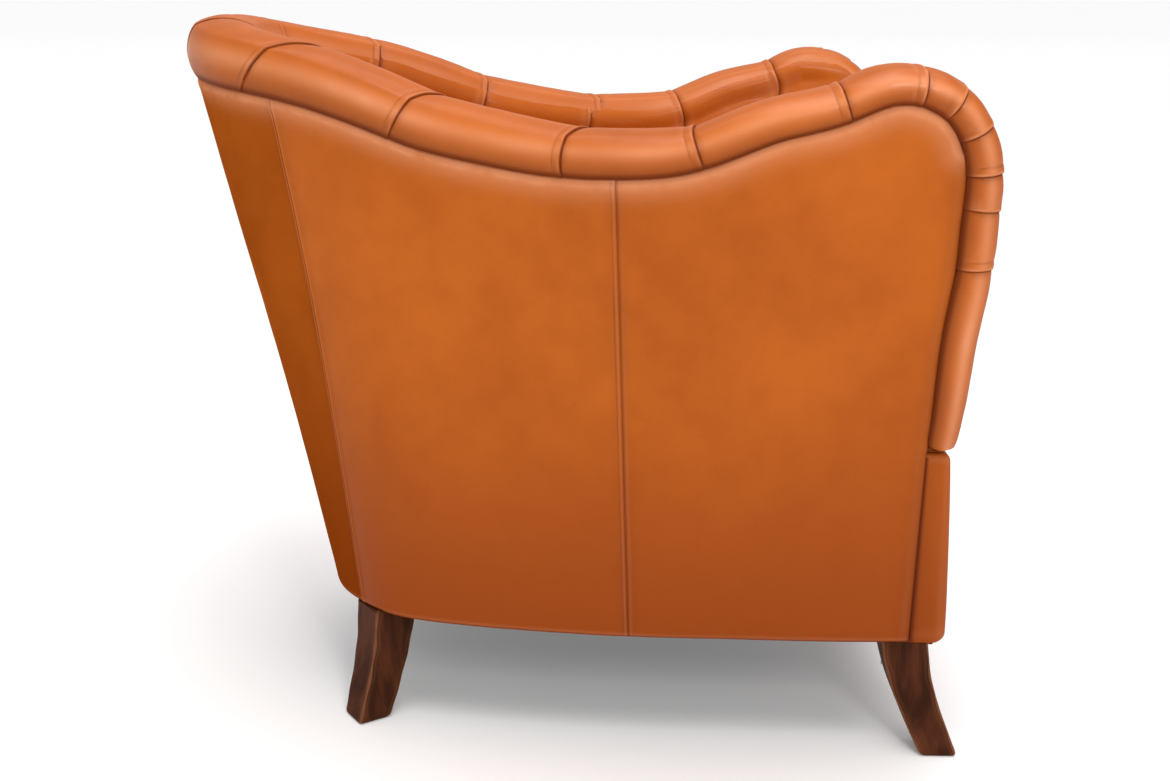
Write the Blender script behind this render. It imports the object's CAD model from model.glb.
"""Looks of the tufted leather tub chair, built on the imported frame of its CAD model."""

import logging
import math
from dataclasses import dataclass, field
from enum import Enum

import bmesh
import bpy
import numpy as np
from mathutils import Matrix, Vector, noise
from mathutils.bvhtree import BVHTree


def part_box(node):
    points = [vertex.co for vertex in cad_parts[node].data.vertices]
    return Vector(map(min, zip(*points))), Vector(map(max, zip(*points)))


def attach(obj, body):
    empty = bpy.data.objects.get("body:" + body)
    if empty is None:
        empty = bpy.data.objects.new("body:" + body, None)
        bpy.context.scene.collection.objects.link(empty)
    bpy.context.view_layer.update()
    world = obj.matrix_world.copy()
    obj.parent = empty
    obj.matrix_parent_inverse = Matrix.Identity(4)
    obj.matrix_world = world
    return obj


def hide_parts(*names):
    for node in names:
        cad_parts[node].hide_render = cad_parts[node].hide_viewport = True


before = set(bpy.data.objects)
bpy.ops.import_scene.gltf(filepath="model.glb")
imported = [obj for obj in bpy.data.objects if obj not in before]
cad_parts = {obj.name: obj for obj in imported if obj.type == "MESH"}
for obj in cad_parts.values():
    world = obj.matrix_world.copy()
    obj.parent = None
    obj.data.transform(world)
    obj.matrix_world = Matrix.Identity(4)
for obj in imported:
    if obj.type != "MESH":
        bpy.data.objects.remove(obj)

LOG = logging.getLogger("tub_chair")
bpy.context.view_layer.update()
Array = np.ndarray
FLIP = np.array([-1.0, 1.0, 1.0])
CRISP_ANGLE = 42.0


class Side(Enum):
    """The side of the chair a piece is on, as the sitter sees it."""

    LEFT = "left"
    RIGHT = "right"

    @property
    def sign(self) -> float:
        """+1 on the left, where x is positive, and -1 on the right."""
        return 1.0 if self is Side.LEFT else -1.0


class Slot(Enum):
    """Material slots of the record."""

    SHELL = "shell_leather"
    ROLL = "roll_leather"
    TUFTED = "tufted_leather"
    CUSHION = "cushion_leather"
    BUTTON = "button_leather"
    LEG = "leg_wood"
    FOAM = "foam"
    WEBBING = "webbing"
    LINING = "lining"


# The chair's shape, in metres


def both_halves(points: Array) -> Array:
    """Points of the left half, the last of them on the middle plane, and then their mirror image."""
    return np.concatenate([points, points[-2::-1] * FLIP])


def both_marks(marks: dict) -> dict:
    """Marks of the left half, and then those of its mirror image."""
    return {name: np.concatenate([values, values[-2::-1]]) for name, values in marks.items()}


class Curve:
    """A smooth curve through points at given places along it."""

    def __init__(self, places: Array, points: Array) -> None:
        """Solves the natural cubic spline.

        Args:
            places: Place of each point, rising.
            points: One point, or one set of values, for each place.
        """
        self.places = np.asarray(places, float)
        self.points = np.asarray(points, float)
        steps = np.diff(self.places)
        count = len(self.places)
        matrix = np.eye(count)
        right = np.zeros_like(self.points)
        slopes = np.diff(self.points, axis=0) / steps[:, None]
        for index in range(1, count - 1):
            matrix[index, index - 1] = steps[index - 1]
            matrix[index, index] = 2 * (steps[index - 1] + steps[index])
            matrix[index, index + 1] = steps[index]
            right[index] = 6 * (slopes[index] - slopes[index - 1])
        self.bends = np.linalg.solve(matrix, right)

    def _pieces(self, place: Array) -> tuple:
        """Span, length of the span and shares of its ends at each place."""
        place = np.atleast_1d(np.asarray(place, float))
        span = np.clip(np.searchsorted(self.places, place, side="right") - 1, 0, len(self.places) - 2)
        step = self.places[span + 1] - self.places[span]
        after = ((place - self.places[span]) / step)[:, None]
        return span, step[:, None], 1 - after, after

    def at(self, place: Array) -> Array:
        """Points at places along the curve, one row for each place."""
        span, step, before, after = self._pieces(place)
        bend = (before ** 3 - before) * self.bends[span] + (after ** 3 - after) * self.bends[span + 1]
        return before * self.points[span] + after * self.points[span + 1] + bend * step * step / 6

    def along(self, place: Array) -> Array:
        """Unit directions of the curve at places along it, one row for each place."""
        span, step, before, after = self._pieces(place)
        bend = (3 * after ** 2 - 1) * self.bends[span + 1] - (3 * before ** 2 - 1) * self.bends[span]
        slope = (self.points[span + 1] - self.points[span]) / step + bend * step / 6
        return slope / np.linalg.norm(slope, axis=1)[:, None]


@dataclass
class RollFrame:
    """Cross-section of the roll at a set of rows."""

    centre: Array
    outward: Array
    upward: Array
    half_width: Array
    half_height: Array


@dataclass
class ShellShape:
    """The sizes and the swept shape that the chair's covers share with its frame."""

    half_width: float = 0.4095
    half_depth: float = 0.458
    dip_top: float = 0.707
    hump_top: float = 0.773
    back_top: float = 0.822
    floor_gap: float = 0.125
    deck_level: float = 0.361
    arm_roll_half_width: float = 0.0485
    arm_roll_half_height: float = 0.0275
    back_roll_half_width: float = 0.044
    back_roll_half_height: float = 0.040
    base_half_width: float = 0.2995
    base_half_depth: float = 0.295
    seam_front: float = 0.403
    border_front: float = 0.430
    front_post_width: float = 0.045
    tuck_inset: float = 0.002
    fit_gap: float = 0.0003
    under_roll_gap: float = 0.0009
    arm_inside_depth: float = 0.062
    back_inside_depth: float = 0.132
    pad_near: float = 0.0296
    tuck_share: float = 0.80
    tuck_drop_share: float = 0.72
    facing_rows: int = 7
    last_row: float = 12.0
    crown_shares: tuple = (
        (0.8816, -0.7293, 1.0, 0.0, -0.4),
        (0.8791, -0.6488, 0.777, 0.0, -0.376),
        (0.8718, -0.4956, 0.5, 0.0, -0.32),
        (0.8547, -0.3384, 0.106, 0.0, -0.16),
        (0.8181, -0.1681, 0.0, 0.0, 0.0),
        (0.7619, -0.0262, 0.026, 0.0, 0.12),
        (0.6935, 0.1485, 0.148, 0.0, 0.28),
        (0.6398, 0.2904, 0.287, 0.11, 0.4),
        (0.5812, 0.4432, 0.513, 0.33, 0.52),
        (0.5006, 0.607, 0.722, 0.55, 0.68),
        (0.3663, 0.7838, 0.87, 0.78, 0.84),
        (0.1954, 0.8777, 0.974, 0.9, 0.96),
        (0.0, 0.9039, 1.0, 1.0, 1.0),
    )
    base_shares: tuple = (
        (1.0, -0.829), (0.998, -0.73), (0.992, -0.568), (0.985, -0.397), (0.975, -0.208), (0.948, -0.042),
        (0.905, 0.231), (0.848, 0.498), (0.761, 0.698), (0.601, 0.854), (0.407, 0.946), (0.207, 0.975), (0.0, 0.98),
    )
    facing_shares: tuple = (
        (0.7668, -0.9105, 0.014, 0.66, 0.72),
        (0.7829, -0.9192, 0.1553, 0.763, 0.782),
        (0.8046, -0.929, 0.3617, 0.866, 0.855),
        (0.8254, -0.9445, 0.5201, 0.928, 0.891),
        (0.8449, -0.9485, 0.6766, 0.969, 0.902),
        (0.8608, -0.9455, 0.8207, 0.99, 0.891),
        (0.8742, -0.8726, 0.9776, 1.0, 0.855),
    )
    inside_depth_shares: tuple = (0.0, 0.0, 0.0, 0.0, 0.0, 0.02, 0.06, 0.18, 0.42, 0.7, 0.88, 0.97, 1.0)
    dip_row: int = 4
    crown: Curve = field(init=False)
    radii: Curve = field(init=False)
    base: Curve = field(init=False)
    places: Array = field(init=False)

    def __post_init__(self) -> None:
        """Lays the curves of the crown, of the roll's radii and of the shell's lower edge."""
        centres, sizes = self._crown_rows()
        places = np.concatenate([[0.0], np.cumsum(np.linalg.norm(np.diff(centres, axis=0), axis=1))])
        self.places = np.concatenate([places, 2 * places[-1] - places[-2::-1]])
        self.crown = Curve(self.places, both_halves(centres))
        self.radii = Curve(self.places, np.concatenate([sizes, sizes[-2::-1]]))
        low = []
        for across, back in self.base_shares:
            reach = self.seam_front if back < 0 else self.base_half_depth
            low.append([across * self.base_half_width, back * reach, self.floor_gap])
        shell_rows = slice(self.facing_rows, len(self.places) - self.facing_rows)
        self.base = Curve(self.places[shell_rows], both_halves(np.array(low)))

    def _crown_rows(self) -> tuple:
        """Centre and half sizes of the roll at each whole row, from the facing's lower end."""
        centres, sizes = [], []
        hump = self.hump_top - self.arm_roll_half_height
        taller = self.back_roll_half_height - self.arm_roll_half_height
        wider = self.back_roll_half_width - self.arm_roll_half_width
        for across, back, rise, wide, high in self.facing_shares:
            level = self.deck_level + rise * (hump - self.deck_level)
            centres.append([across * self.half_width, back * self.half_depth, level])
            sizes.append([wide * self.arm_roll_half_width, high * self.arm_roll_half_height])
        for row, (across, back, rise, wide, high) in enumerate(self.crown_shares):
            peak = self.hump_top if row <= self.dip_row else self.back_top
            half_height = self.arm_roll_half_height + high * taller
            level = self.dip_top + rise * (peak - self.dip_top) - half_height
            centres.append([across * self.half_width, back * self.half_depth, level])
            sizes.append([self.arm_roll_half_width + wide * wider, half_height])
        return np.array(centres), np.array(sizes)

    def place_of(self, rows: Array) -> Array:
        """Places along the crown of rows, which may lie between two rows."""
        return np.interp(np.asarray(rows, float) + self.facing_rows, np.arange(len(self.places)), self.places)

    def row_of(self, places: Array) -> Array:
        """Rows of places along the crown, which may lie between two rows."""
        return np.interp(places, self.places, np.arange(len(self.places)) - self.facing_rows)

    def roll_frame(self, rows: Array) -> RollFrame:
        """Cross-sections of the roll.

        Args:
            rows: Rows, -7 at the facing's lower end, 0 at the hump, 12 at the middle of the back.

        Returns:
            Centres, directions and half sizes at the rows.
        """
        rows = np.atleast_1d(np.asarray(rows, float))
        place = self.place_of(rows)
        ahead = self.crown.along(place)
        flat = np.stack([ahead[:, 1], -ahead[:, 0], np.zeros(len(rows))], 1)
        flat /= np.maximum(np.linalg.norm(flat, axis=1), 1e-9)[:, None]
        share = np.clip(rows, 0.0, 1.0)[:, None]
        outward = flat * share + np.array([1.0, 0.0, 0.0]) * (1 - share)
        outward -= ahead * np.sum(outward * ahead, axis=1)[:, None]
        outward /= np.linalg.norm(outward, axis=1)[:, None]
        upward = np.cross(outward, ahead)
        sizes = self.radii.at(place)
        return RollFrame(self.crown.at(place), outward, upward, sizes[:, 0], sizes[:, 1])

    def wall(self, rows: Array) -> tuple:
        """Lower and upper line of the shell's outside and the way inward, at rows."""
        rows = np.atleast_1d(np.asarray(rows, float))
        mirrored = rows > self.last_row
        folded = np.where(mirrored, 2 * self.last_row - rows, rows)
        kept = np.maximum(folded, 0.0)
        roll = self.roll_frame(kept)
        drop = self.tuck_drop_share * roll.half_height + self.fit_gap
        reach = self.tuck_share * roll.half_width - self.tuck_inset
        high = roll.centre + roll.outward * reach[:, None] - roll.upward * drop[:, None]
        low = self.base.at(self.place_of(kept))
        inward = -roll.outward * np.array([1.0, 1.0, 0.0])
        inward /= np.linalg.norm(inward, axis=1)[:, None]
        front = folded < 0
        low[front, 1] += folded[front] * self.front_post_width
        high[front, 1] += folded[front] * self.front_post_width
        inward[front] = (-1.0, 0.0, 0.0)
        for points in (low, high, inward):
            points[mirrored, 0] *= -1
        return low, high, inward

    def wall_point(self, rows: Array, height: Array, depth: Array) -> Array:
        """Points in the wall.

        Args:
            rows: Rows, or one row.
            height: Heights over the floor, or one height.
            depth: Depths inside the shell's outside, or one depth.

        Returns:
            One point for each row or height.
        """
        low, high, inward = self.wall(rows)
        share = ((height - low[:, 2]) / (high[:, 2] - low[:, 2]))[:, None]
        return low + (high - low) * share + inward * np.reshape(depth, (-1, 1))

    def row_at_front(self, distance: float) -> float:
        """Row, ahead of the hump, that is this far in front of the middle."""
        return float(-(distance + self.wall(0.0)[0][0, 1]) / self.front_post_width)

    def inside_depths(self, rows: Array) -> tuple:
        """Depth of the tufted inside at the deck and under the roll, at rows."""
        folded = np.clip(np.minimum(rows, 2 * self.last_row - rows), 0.0, None)
        share = np.interp(folded, np.arange(len(self.inside_depth_shares)), self.inside_depth_shares)
        bottom = self.arm_inside_depth + share * (self.back_inside_depth - self.arm_inside_depth)
        top = 2 * self.tuck_share * self.roll_frame(folded).half_width - self.tuck_inset
        return bottom, top

    def crease(self, rows: Array, gap: float) -> Array:
        """Points of the crease under or behind the roll.

        Args:
            rows: Rows of the roll.
            gap: Clearance to the roll.

        Returns:
            One point for each row, under the middle of the roll.
        """
        roll = self.roll_frame(rows)
        return roll.centre - roll.upward * (self.tuck_drop_share * roll.half_height + gap)[:, None]


SHELL = ShellShape()


# Node trees


class Signal:
    """A number that comes out of a shader node, for use in expressions."""

    def __init__(self, nodes: "Nodes", socket: bpy.types.NodeSocket) -> None:
        """Wraps an output socket of a tree."""
        self.nodes = nodes
        self.socket = socket

    def _math(self, operation: str, first: object, second: object = None) -> "Signal":
        """A Math node on one or two values."""
        values = {0: first} if second is None else {0: first, 1: second}
        return self.nodes.number("ShaderNodeMath", {"operation": operation}, values)

    def __add__(self, other: object) -> "Signal":
        """self + other."""
        return self._math("ADD", self, other)

    def __radd__(self, other: object) -> "Signal":
        """other + self."""
        return self._math("ADD", other, self)

    def __sub__(self, other: object) -> "Signal":
        """self - other."""
        return self._math("SUBTRACT", self, other)

    def __rsub__(self, other: object) -> "Signal":
        """other - self."""
        return self._math("SUBTRACT", other, self)

    def __mul__(self, other: object) -> "Signal":
        """self * other."""
        return self._math("MULTIPLY", self, other)

    def between(self, low: float, high: float) -> "Signal":
        """0 at low, 1 at high, and smooth in between.

        Args:
            low: Value that gives 0.
            high: Value that gives 1.

        Returns:
            The eased share.
        """
        settings = {"interpolation_type": "SMOOTHSTEP", "clamp": True}
        return self.nodes.number("ShaderNodeMapRange", settings, {"Value": self, "From Min": low, "From Max": high})


def add_node(tree: bpy.types.NodeTree, kind: str, settings: dict, inputs: dict) -> bpy.types.Node:
    """Adds a node to a tree.

    Args:
        tree: The tree.
        kind: The node's type.
        settings: Attributes, set before the sockets.
        inputs: Values, sockets or signals by socket name or index.

    Returns:
        The node.
    """
    node = tree.nodes.new(kind)
    for key, value in settings.items():
        setattr(node, key, value)
    for key, value in inputs.items():
        socket = node.inputs[key]
        source = value.socket if isinstance(value, Signal) else value
        if isinstance(source, bpy.types.NodeSocket):
            tree.links.new(source, socket)
        elif socket.type == "RGBA" and len(value) == 3:
            socket.default_value = (*value, 1.0)
        else:
            socket.default_value = value
    return node


class Nodes:
    """Adds nodes to a material's tree."""

    def __init__(self, name: str) -> None:
        """Starts a material with an empty node tree."""
        self.material = bpy.data.materials.new(name)
        self.material.use_nodes = True
        self.tree = self.material.node_tree
        self.tree.nodes.clear()

    def add(self, kind: str, settings: dict, inputs: dict) -> bpy.types.Node:
        """Adds a node to the material's tree."""
        return add_node(self.tree, kind, settings, inputs)

    def number(self, kind: str, settings: dict, inputs: dict, output: object = 0) -> Signal:
        """Adds a node and wraps one of its outputs as a signal."""
        return Signal(self, self.add(kind, settings, inputs).outputs[output])

    def place(self) -> bpy.types.NodeSocket:
        """Object coordinates, in metres."""
        return self.add("ShaderNodeTexCoord", {}, {}).outputs["Object"]

    def height(self) -> Signal:
        """Height over the floor, in metres."""
        return self.number("ShaderNodeSeparateXYZ", {}, {0: self.place()}, "Z")

    def stretched(self, scale: tuple) -> bpy.types.NodeSocket:
        """Object coordinates, scaled along each axis."""
        return self.add("ShaderNodeMapping", {}, {"Vector": self.place(), "Scale": scale}).outputs[0]

    def clouds(self, scale: float, detail: float = 3.0, where: object = None) -> Signal:
        """Soft noise from 0 to 1, this many spots to the metre."""
        where = self.place() if where is None else where
        return self.number("ShaderNodeTexNoise", {}, {"Vector": where, "Scale": scale, "Detail": detail}, "Fac")

    def cells(self, scale: float, feature: str = "F1", where: object = None) -> Signal:
        """Distance within cells, this many cells to the metre."""
        where = self.place() if where is None else where
        settings = {"feature": feature}
        return self.number("ShaderNodeTexVoronoi", settings, {"Vector": where, "Scale": scale}, "Distance")

    def mark(self, name: str) -> Signal:
        """A number stored at the piece's vertices."""
        return self.number("ShaderNodeAttribute", {"attribute_name": name}, {}, "Fac")

    def mix(self, share: object, first: object, second: object, kind: str = "MIX") -> bpy.types.NodeSocket:
        """A colour between two colours.

        Args:
            share: How much of the second colour.
            first: Colour or colour socket.
            second: Colour or colour socket.
            kind: Blend type.

        Returns:
            The mixed colour's socket.
        """
        settings = {"data_type": "RGBA", "blend_type": kind, "clamp_factor": True}
        return self.add("ShaderNodeMix", settings, {0: share, 6: first, 7: second}).outputs[2]

    def bump(self, height: Signal, depth: float, strength: float) -> bpy.types.NodeSocket:
        """Normals of a relief, depth metres deep."""
        inputs = {"Height": height, "Distance": depth, "Strength": strength}
        return self.add("ShaderNodeBump", {}, inputs).outputs[0]

    def surface(self, inputs: dict) -> bpy.types.Material:
        """Ends the tree with a Principled shader and gives the material."""
        shader = self.add("ShaderNodeBsdfPrincipled", {}, inputs)
        self.add("ShaderNodeOutputMaterial", {}, {"Surface": shader.outputs[0]})
        return self.material


# Finishes


@dataclass(frozen=True)
class Leather:
    """Hand-antiqued cognac leather: a warm tan, rubbed dark in folds and seams and light on ridges."""

    name: str
    tan: tuple = (0.52, 0.122, 0.0125)
    deep: tuple = (0.32, 0.060, 0.006)
    seam: tuple = (0.125, 0.021, 0.005)
    rub: tuple = (0.82, 0.33, 0.16)
    mottle: float = 0.55
    grain_to_metre: float = 720.0
    grain_depth: float = 0.00018
    gloss: float = 0.38
    polish: float = 0.0
    polish_spread: float = 0.22
    shine: float = 0.07
    lowering: float = 1.0

    def material(self) -> bpy.types.Material:
        """The finish as a material that reads the crease, burnish and wrinkle marks of a piece."""
        nodes = Nodes(self.name)
        crease = nodes.mark("crease")
        burnish = nodes.mark("burnish")
        wide = nodes.clouds(4.5, 2.0)
        fine = nodes.clouds(26.0, 4.0)
        patches = wide.between(0.35, 0.68) * 0.62 + fine.between(0.3, 0.75) * 0.38
        colour = nodes.mix(patches * self.mottle, self.tan, self.deep)
        low = 1 - nodes.height().between(0.12, 0.5)
        colour = nodes.mix(low * self.lowering, colour, self.deep)
        specks = nodes.clouds(190.0, 2.0).between(0.62, 0.8)
        colour = nodes.mix(specks * 0.10, colour, self.seam)
        rubbed = burnish * (0.55 + fine * 0.6)
        colour = nodes.mix(rubbed * 0.75, colour, self.rub)
        colour = nodes.mix(crease * 0.92, colour, self.seam)
        pebble = nodes.cells(self.grain_to_metre, "SMOOTH_F1")
        hair = nodes.clouds(1500.0, 2.0)
        creasing = nodes.clouds(75.0, 5.0, nodes.stretched((1.0, 1.0, 0.45)))
        relief = pebble * 0.75 + hair * 0.3 + creasing * 1.6 * (0.35 + nodes.mark("wrinkle"))
        return nodes.surface({
            "Base Color": colour,
            "Roughness": self.gloss + fine * 0.10 + crease * 0.25 - burnish * 0.05,
            "Specular IOR Level": self.shine,
            "Coat Weight": (1 - crease * 0.9) * self.polish,
            "Coat Roughness": self.polish_spread,
            "Normal": nodes.bump(relief, self.grain_depth, 0.8),
        })


@dataclass(frozen=True)
class StainedWood:
    """Dark walnut stain under a satin lacquer, rubbed lighter along the arrises."""

    name: str = "dark_walnut_legs"
    dark: tuple = (0.030, 0.0085, 0.0038)
    warm: tuple = (0.092, 0.026, 0.0105)
    worn: tuple = (0.21, 0.080, 0.036)

    def material(self) -> bpy.types.Material:
        """The finish as a material that reads the arris mark of a leg."""
        nodes = Nodes(self.name)
        grain = nodes.clouds(60.0, 5.0, nodes.stretched((1.0, 1.0, 0.07)))
        pores = nodes.clouds(420.0, 2.0, nodes.stretched((1.0, 1.0, 0.04)))
        colour = nodes.mix(grain.between(0.32, 0.7), self.dark, self.warm)
        colour = nodes.mix(pores.between(0.55, 0.75) * 0.5, colour, self.dark)
        wear = nodes.mark("arris") * (0.35 + nodes.clouds(38.0, 3.0) * 0.9)
        colour = nodes.mix(wear, colour, self.worn)
        return nodes.surface({
            "Base Color": colour,
            "Roughness": 0.42 + pores * 0.16,
            "Specular IOR Level": 0.04,
            "Normal": nodes.bump(pores + grain * 0.5, 0.00025, 0.5),
        })


@dataclass(frozen=True)
class SawnWood:
    """Pale kiln-dried hardwood of the hidden frame."""

    name: str = "frame_hardwood"
    pale: tuple = (0.60, 0.41, 0.22)
    ring: tuple = (0.40, 0.235, 0.105)

    def material(self) -> bpy.types.Material:
        """The finish as a material."""
        nodes = Nodes(self.name)
        rings = nodes.clouds(22.0, 4.0, nodes.stretched((0.25, 0.25, 3.2)))
        saw = nodes.clouds(600.0, 2.0, nodes.stretched((0.2, 0.2, 1.0)))
        colour = nodes.mix(rings.between(0.38, 0.66), self.pale, self.ring)
        colour = nodes.mix(saw.between(0.5, 0.8) * 0.25, colour, self.ring)
        return nodes.surface({
            "Base Color": colour,
            "Roughness": 0.62 + saw * 0.2,
            "Normal": nodes.bump(saw, 0.0003, 0.6),
        })


@dataclass(frozen=True)
class Woven:
    """A plain weave: webbing, decking cloth or the dust cover under the seat."""

    name: str
    light: tuple
    dark: tuple
    threads_to_metre: float
    depth: float = 0.0003
    rough: float = 0.9

    def material(self) -> bpy.types.Material:
        """The finish as a material."""
        nodes = Nodes(self.name)
        where = nodes.place()
        turn = 2 * math.pi * self.threads_to_metre
        across = nodes.number("ShaderNodeSeparateXYZ", {}, {0: where}, "X") * turn
        along = nodes.number("ShaderNodeSeparateXYZ", {}, {0: where}, "Y") * turn
        up = nodes.height() * turn
        waves = []
        for direction in (across, along + up):
            waves.append(nodes.number("ShaderNodeMath", {"operation": "SINE"}, {0: direction}))
        weave = waves[0] * waves[1] * 0.5 + 0.5
        slubs = nodes.clouds(140.0, 3.0)
        colour = nodes.mix(weave * 0.7 + slubs * 0.3, self.dark, self.light)
        return nodes.surface({
            "Base Color": colour,
            "Roughness": self.rough,
            "Normal": nodes.bump(weave + slubs * 0.4, self.depth, 0.7),
        })


@dataclass(frozen=True)
class Foam:
    """Open-cell upholstery foam."""

    name: str = "cream_foam"
    light: tuple = (0.80, 0.72, 0.50)
    dark: tuple = (0.62, 0.52, 0.32)

    def material(self) -> bpy.types.Material:
        """The finish as a material."""
        nodes = Nodes(self.name)
        pores = nodes.cells(520.0)
        tone = nodes.clouds(12.0, 3.0)
        colour = nodes.mix(pores * 0.8 + tone * 0.2, self.dark, self.light)
        return nodes.surface({
            "Base Color": colour,
            "Roughness": 0.95,
            "Normal": nodes.bump(pores, 0.0006, 0.7),
        })


@dataclass(frozen=True)
class Metal:
    """Oiled spring wire or zinc plate."""

    name: str
    bright: tuple
    dull: tuple
    rough: float

    def material(self) -> bpy.types.Material:
        """The finish as a material."""
        nodes = Nodes(self.name)
        stain = nodes.clouds(55.0, 4.0)
        scratch = nodes.clouds(900.0, 2.0)
        colour = nodes.mix(stain.between(0.35, 0.7), self.bright, self.dull)
        return nodes.surface({
            "Base Color": colour,
            "Metallic": 0.92 - stain * 0.2,
            "Roughness": self.rough + scratch * 0.18,
            "Normal": nodes.bump(scratch, 0.0001, 0.4),
        })


@dataclass(frozen=True)
class Thread:
    """Waxed sewing thread."""

    name: str = "tan_thread"
    light: tuple = (0.30, 0.085, 0.022)
    dark: tuple = (0.13, 0.030, 0.008)

    def material(self) -> bpy.types.Material:
        """The finish as a material."""
        nodes = Nodes(self.name)
        twist = nodes.clouds(1800.0, 1.0)
        return nodes.surface({
            "Base Color": nodes.mix(twist, self.dark, self.light),
            "Roughness": 0.55 + twist * 0.2,
            "Normal": nodes.bump(twist, 0.0002, 0.5),
        })


class Finishes:
    """Every material of the chair, made once."""

    def __init__(self) -> None:
        """Makes the materials."""
        self.shell = Leather("shell_leather").material()
        self.back = Leather("shell_leather_back", (0.40, 0.088, 0.009), (0.25, 0.045, 0.004),
                            gloss=0.6, shine=0.0).material()
        self.roll = Leather("roll_leather", mottle=0.5, gloss=0.40, polish=0.32, polish_spread=0.26,
                            shine=0.03, lowering=0.5).material()
        self.tufted = Leather("tufted_leather", mottle=0.45, gloss=0.34, polish=0.2, lowering=0.2).material()
        self.cushion = Leather("cushion_leather", mottle=0.5, gloss=0.36, polish=0.1, lowering=0.2).material()
        self.button = Leather("button_leather", mottle=0.7, gloss=0.32, grain_to_metre=1100.0).material()
        self.leg = StainedWood().material()
        self.frame_wood = SawnWood().material()
        self.foam = Foam().material()
        self.webbing = Woven("jute_webbing", (0.30, 0.20, 0.11), (0.12, 0.075, 0.04), 320.0, 0.0006).material()
        self.decking = Woven("black_decking", (0.060, 0.052, 0.046), (0.018, 0.016, 0.014), 900.0).material()
        self.cambric = Woven("black_cambric", (0.030, 0.030, 0.031), (0.008, 0.008, 0.009), 1400.0).material()
        self.wire = Metal("oiled_spring_wire", (0.20, 0.20, 0.21), (0.07, 0.065, 0.06), 0.32).material()
        self.zinc = Metal("zinc_plate", (0.62, 0.63, 0.62), (0.40, 0.40, 0.38), 0.30).material()
        self.thread = Thread().material()


# Mesh making


def lengths_along(points: Array, axis: int) -> Array:
    """Length from the first point along one axis of a grid of points, at every point."""
    steps = np.linalg.norm(np.diff(points, axis=axis), axis=2)
    total = np.cumsum(steps, axis=axis)
    pad = [(0, 0), (0, 0)]
    pad[axis] = (1, 0)
    return np.pad(total, pad)


def facing_of(points: Array, way: Array, wrap: bool = False) -> Array:
    """Unit normals of a grid of points, on the side that a direction points to.

    Args:
        points: Grid, rows by columns by three.
        way: The direction, or one for each point.
        wrap: True where the last column meets the first.

    Returns:
        A normal for each point.
    """
    down = np.gradient(points, axis=0)
    if wrap:
        across = (np.roll(points, -1, axis=1) - np.roll(points, 1, axis=1)) / 2
    else:
        across = np.gradient(points, axis=1)
    normal = np.cross(down, across)
    normal = normal / np.maximum(np.linalg.norm(normal, axis=2), 1e-12)[:, :, None]
    return -normal if np.sum(normal * way) < 0 else normal


def bell(distance: Array, width: float) -> Array:
    """1 at no distance, falling off smoothly over a width."""
    return np.exp(-(distance / width) ** 2)


def eased(value: Array, low: float, high: float) -> Array:
    """0 at low, 1 at high and smooth in between."""
    share = np.clip((value - low) / (high - low), 0.0, 1.0)
    return share * share * (3 - 2 * share)


def ripples(points: Array, to_metre: float, seed: float) -> Array:
    """Soft noise from -1 to 1 at each point of a grid."""
    flat = points.reshape(-1, 3) * to_metre + seed
    values = [noise.noise(Vector(place)) for place in flat]
    return np.array(values).reshape(points.shape[:-1])


def edge_drop(distance: Array, radius: float, depth: float) -> Array:
    """Drop of a rounded edge: the whole depth on the edge and none past its radius."""
    share = np.clip(distance / radius, 0.0, 1.0)
    return depth * (1 - np.sqrt(np.maximum(1 - (1 - share) ** 2, 0.0)))


def squared_off(values: Array, power: float) -> Array:
    """Values from -1 to 1 raised to a power, with their signs kept."""
    return np.sign(values) * np.abs(values) ** power


def smoothed(loop: Array, rounds: int) -> Array:
    """A closed loop of points, evened out a number of times."""
    for _ in range(rounds):
        loop = 0.25 * np.roll(loop, 1, axis=0) + 0.5 * loop + 0.25 * np.roll(loop, -1, axis=0)
    return loop


def even_steps(places: Array, count: int) -> Array:
    """The same line of places with a count of even steps along it."""
    lengths = np.concatenate([[0.0], np.cumsum(np.linalg.norm(np.diff(places, axis=0), axis=1))])
    stops = np.linspace(0.0, lengths[-1], count)
    return np.stack([np.interp(stops, lengths, places[:, axis]) for axis in range(places.shape[1])], 1)


def distance_to(line: Array, grid: Array) -> Array:
    """Distance of each point of a grid to a line of points."""
    flat = grid.reshape(-1, 3)
    best = np.full(len(flat), 9.0)
    for first, second in zip(line, line[1:]):
        step = second - first
        share = np.clip(((flat - first) @ step) / max(float(step @ step), 1e-12), 0.0, 1.0)
        away = np.linalg.norm(flat - first - share[:, None] * step, axis=1)
        best = np.minimum(best, away)
    return best.reshape(grid.shape[:2])


def linked(name: str, data: bpy.types.ID) -> bpy.types.Object:
    """A new object of the scene, round a mesh, a light or a camera."""
    piece = bpy.data.objects.new(name, data)
    bpy.context.scene.collection.objects.link(piece)
    return piece


def store_mark(mesh: bpy.types.Mesh, name: str, values: Array) -> None:
    """Stores a mark from 0 to 1 at the vertices of a mesh."""
    stored = mesh.attributes.new(name, "FLOAT", "POINT")
    stored.data.foreach_set("value", np.clip(values, 0.0, 1.0).astype(np.float32))


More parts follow.
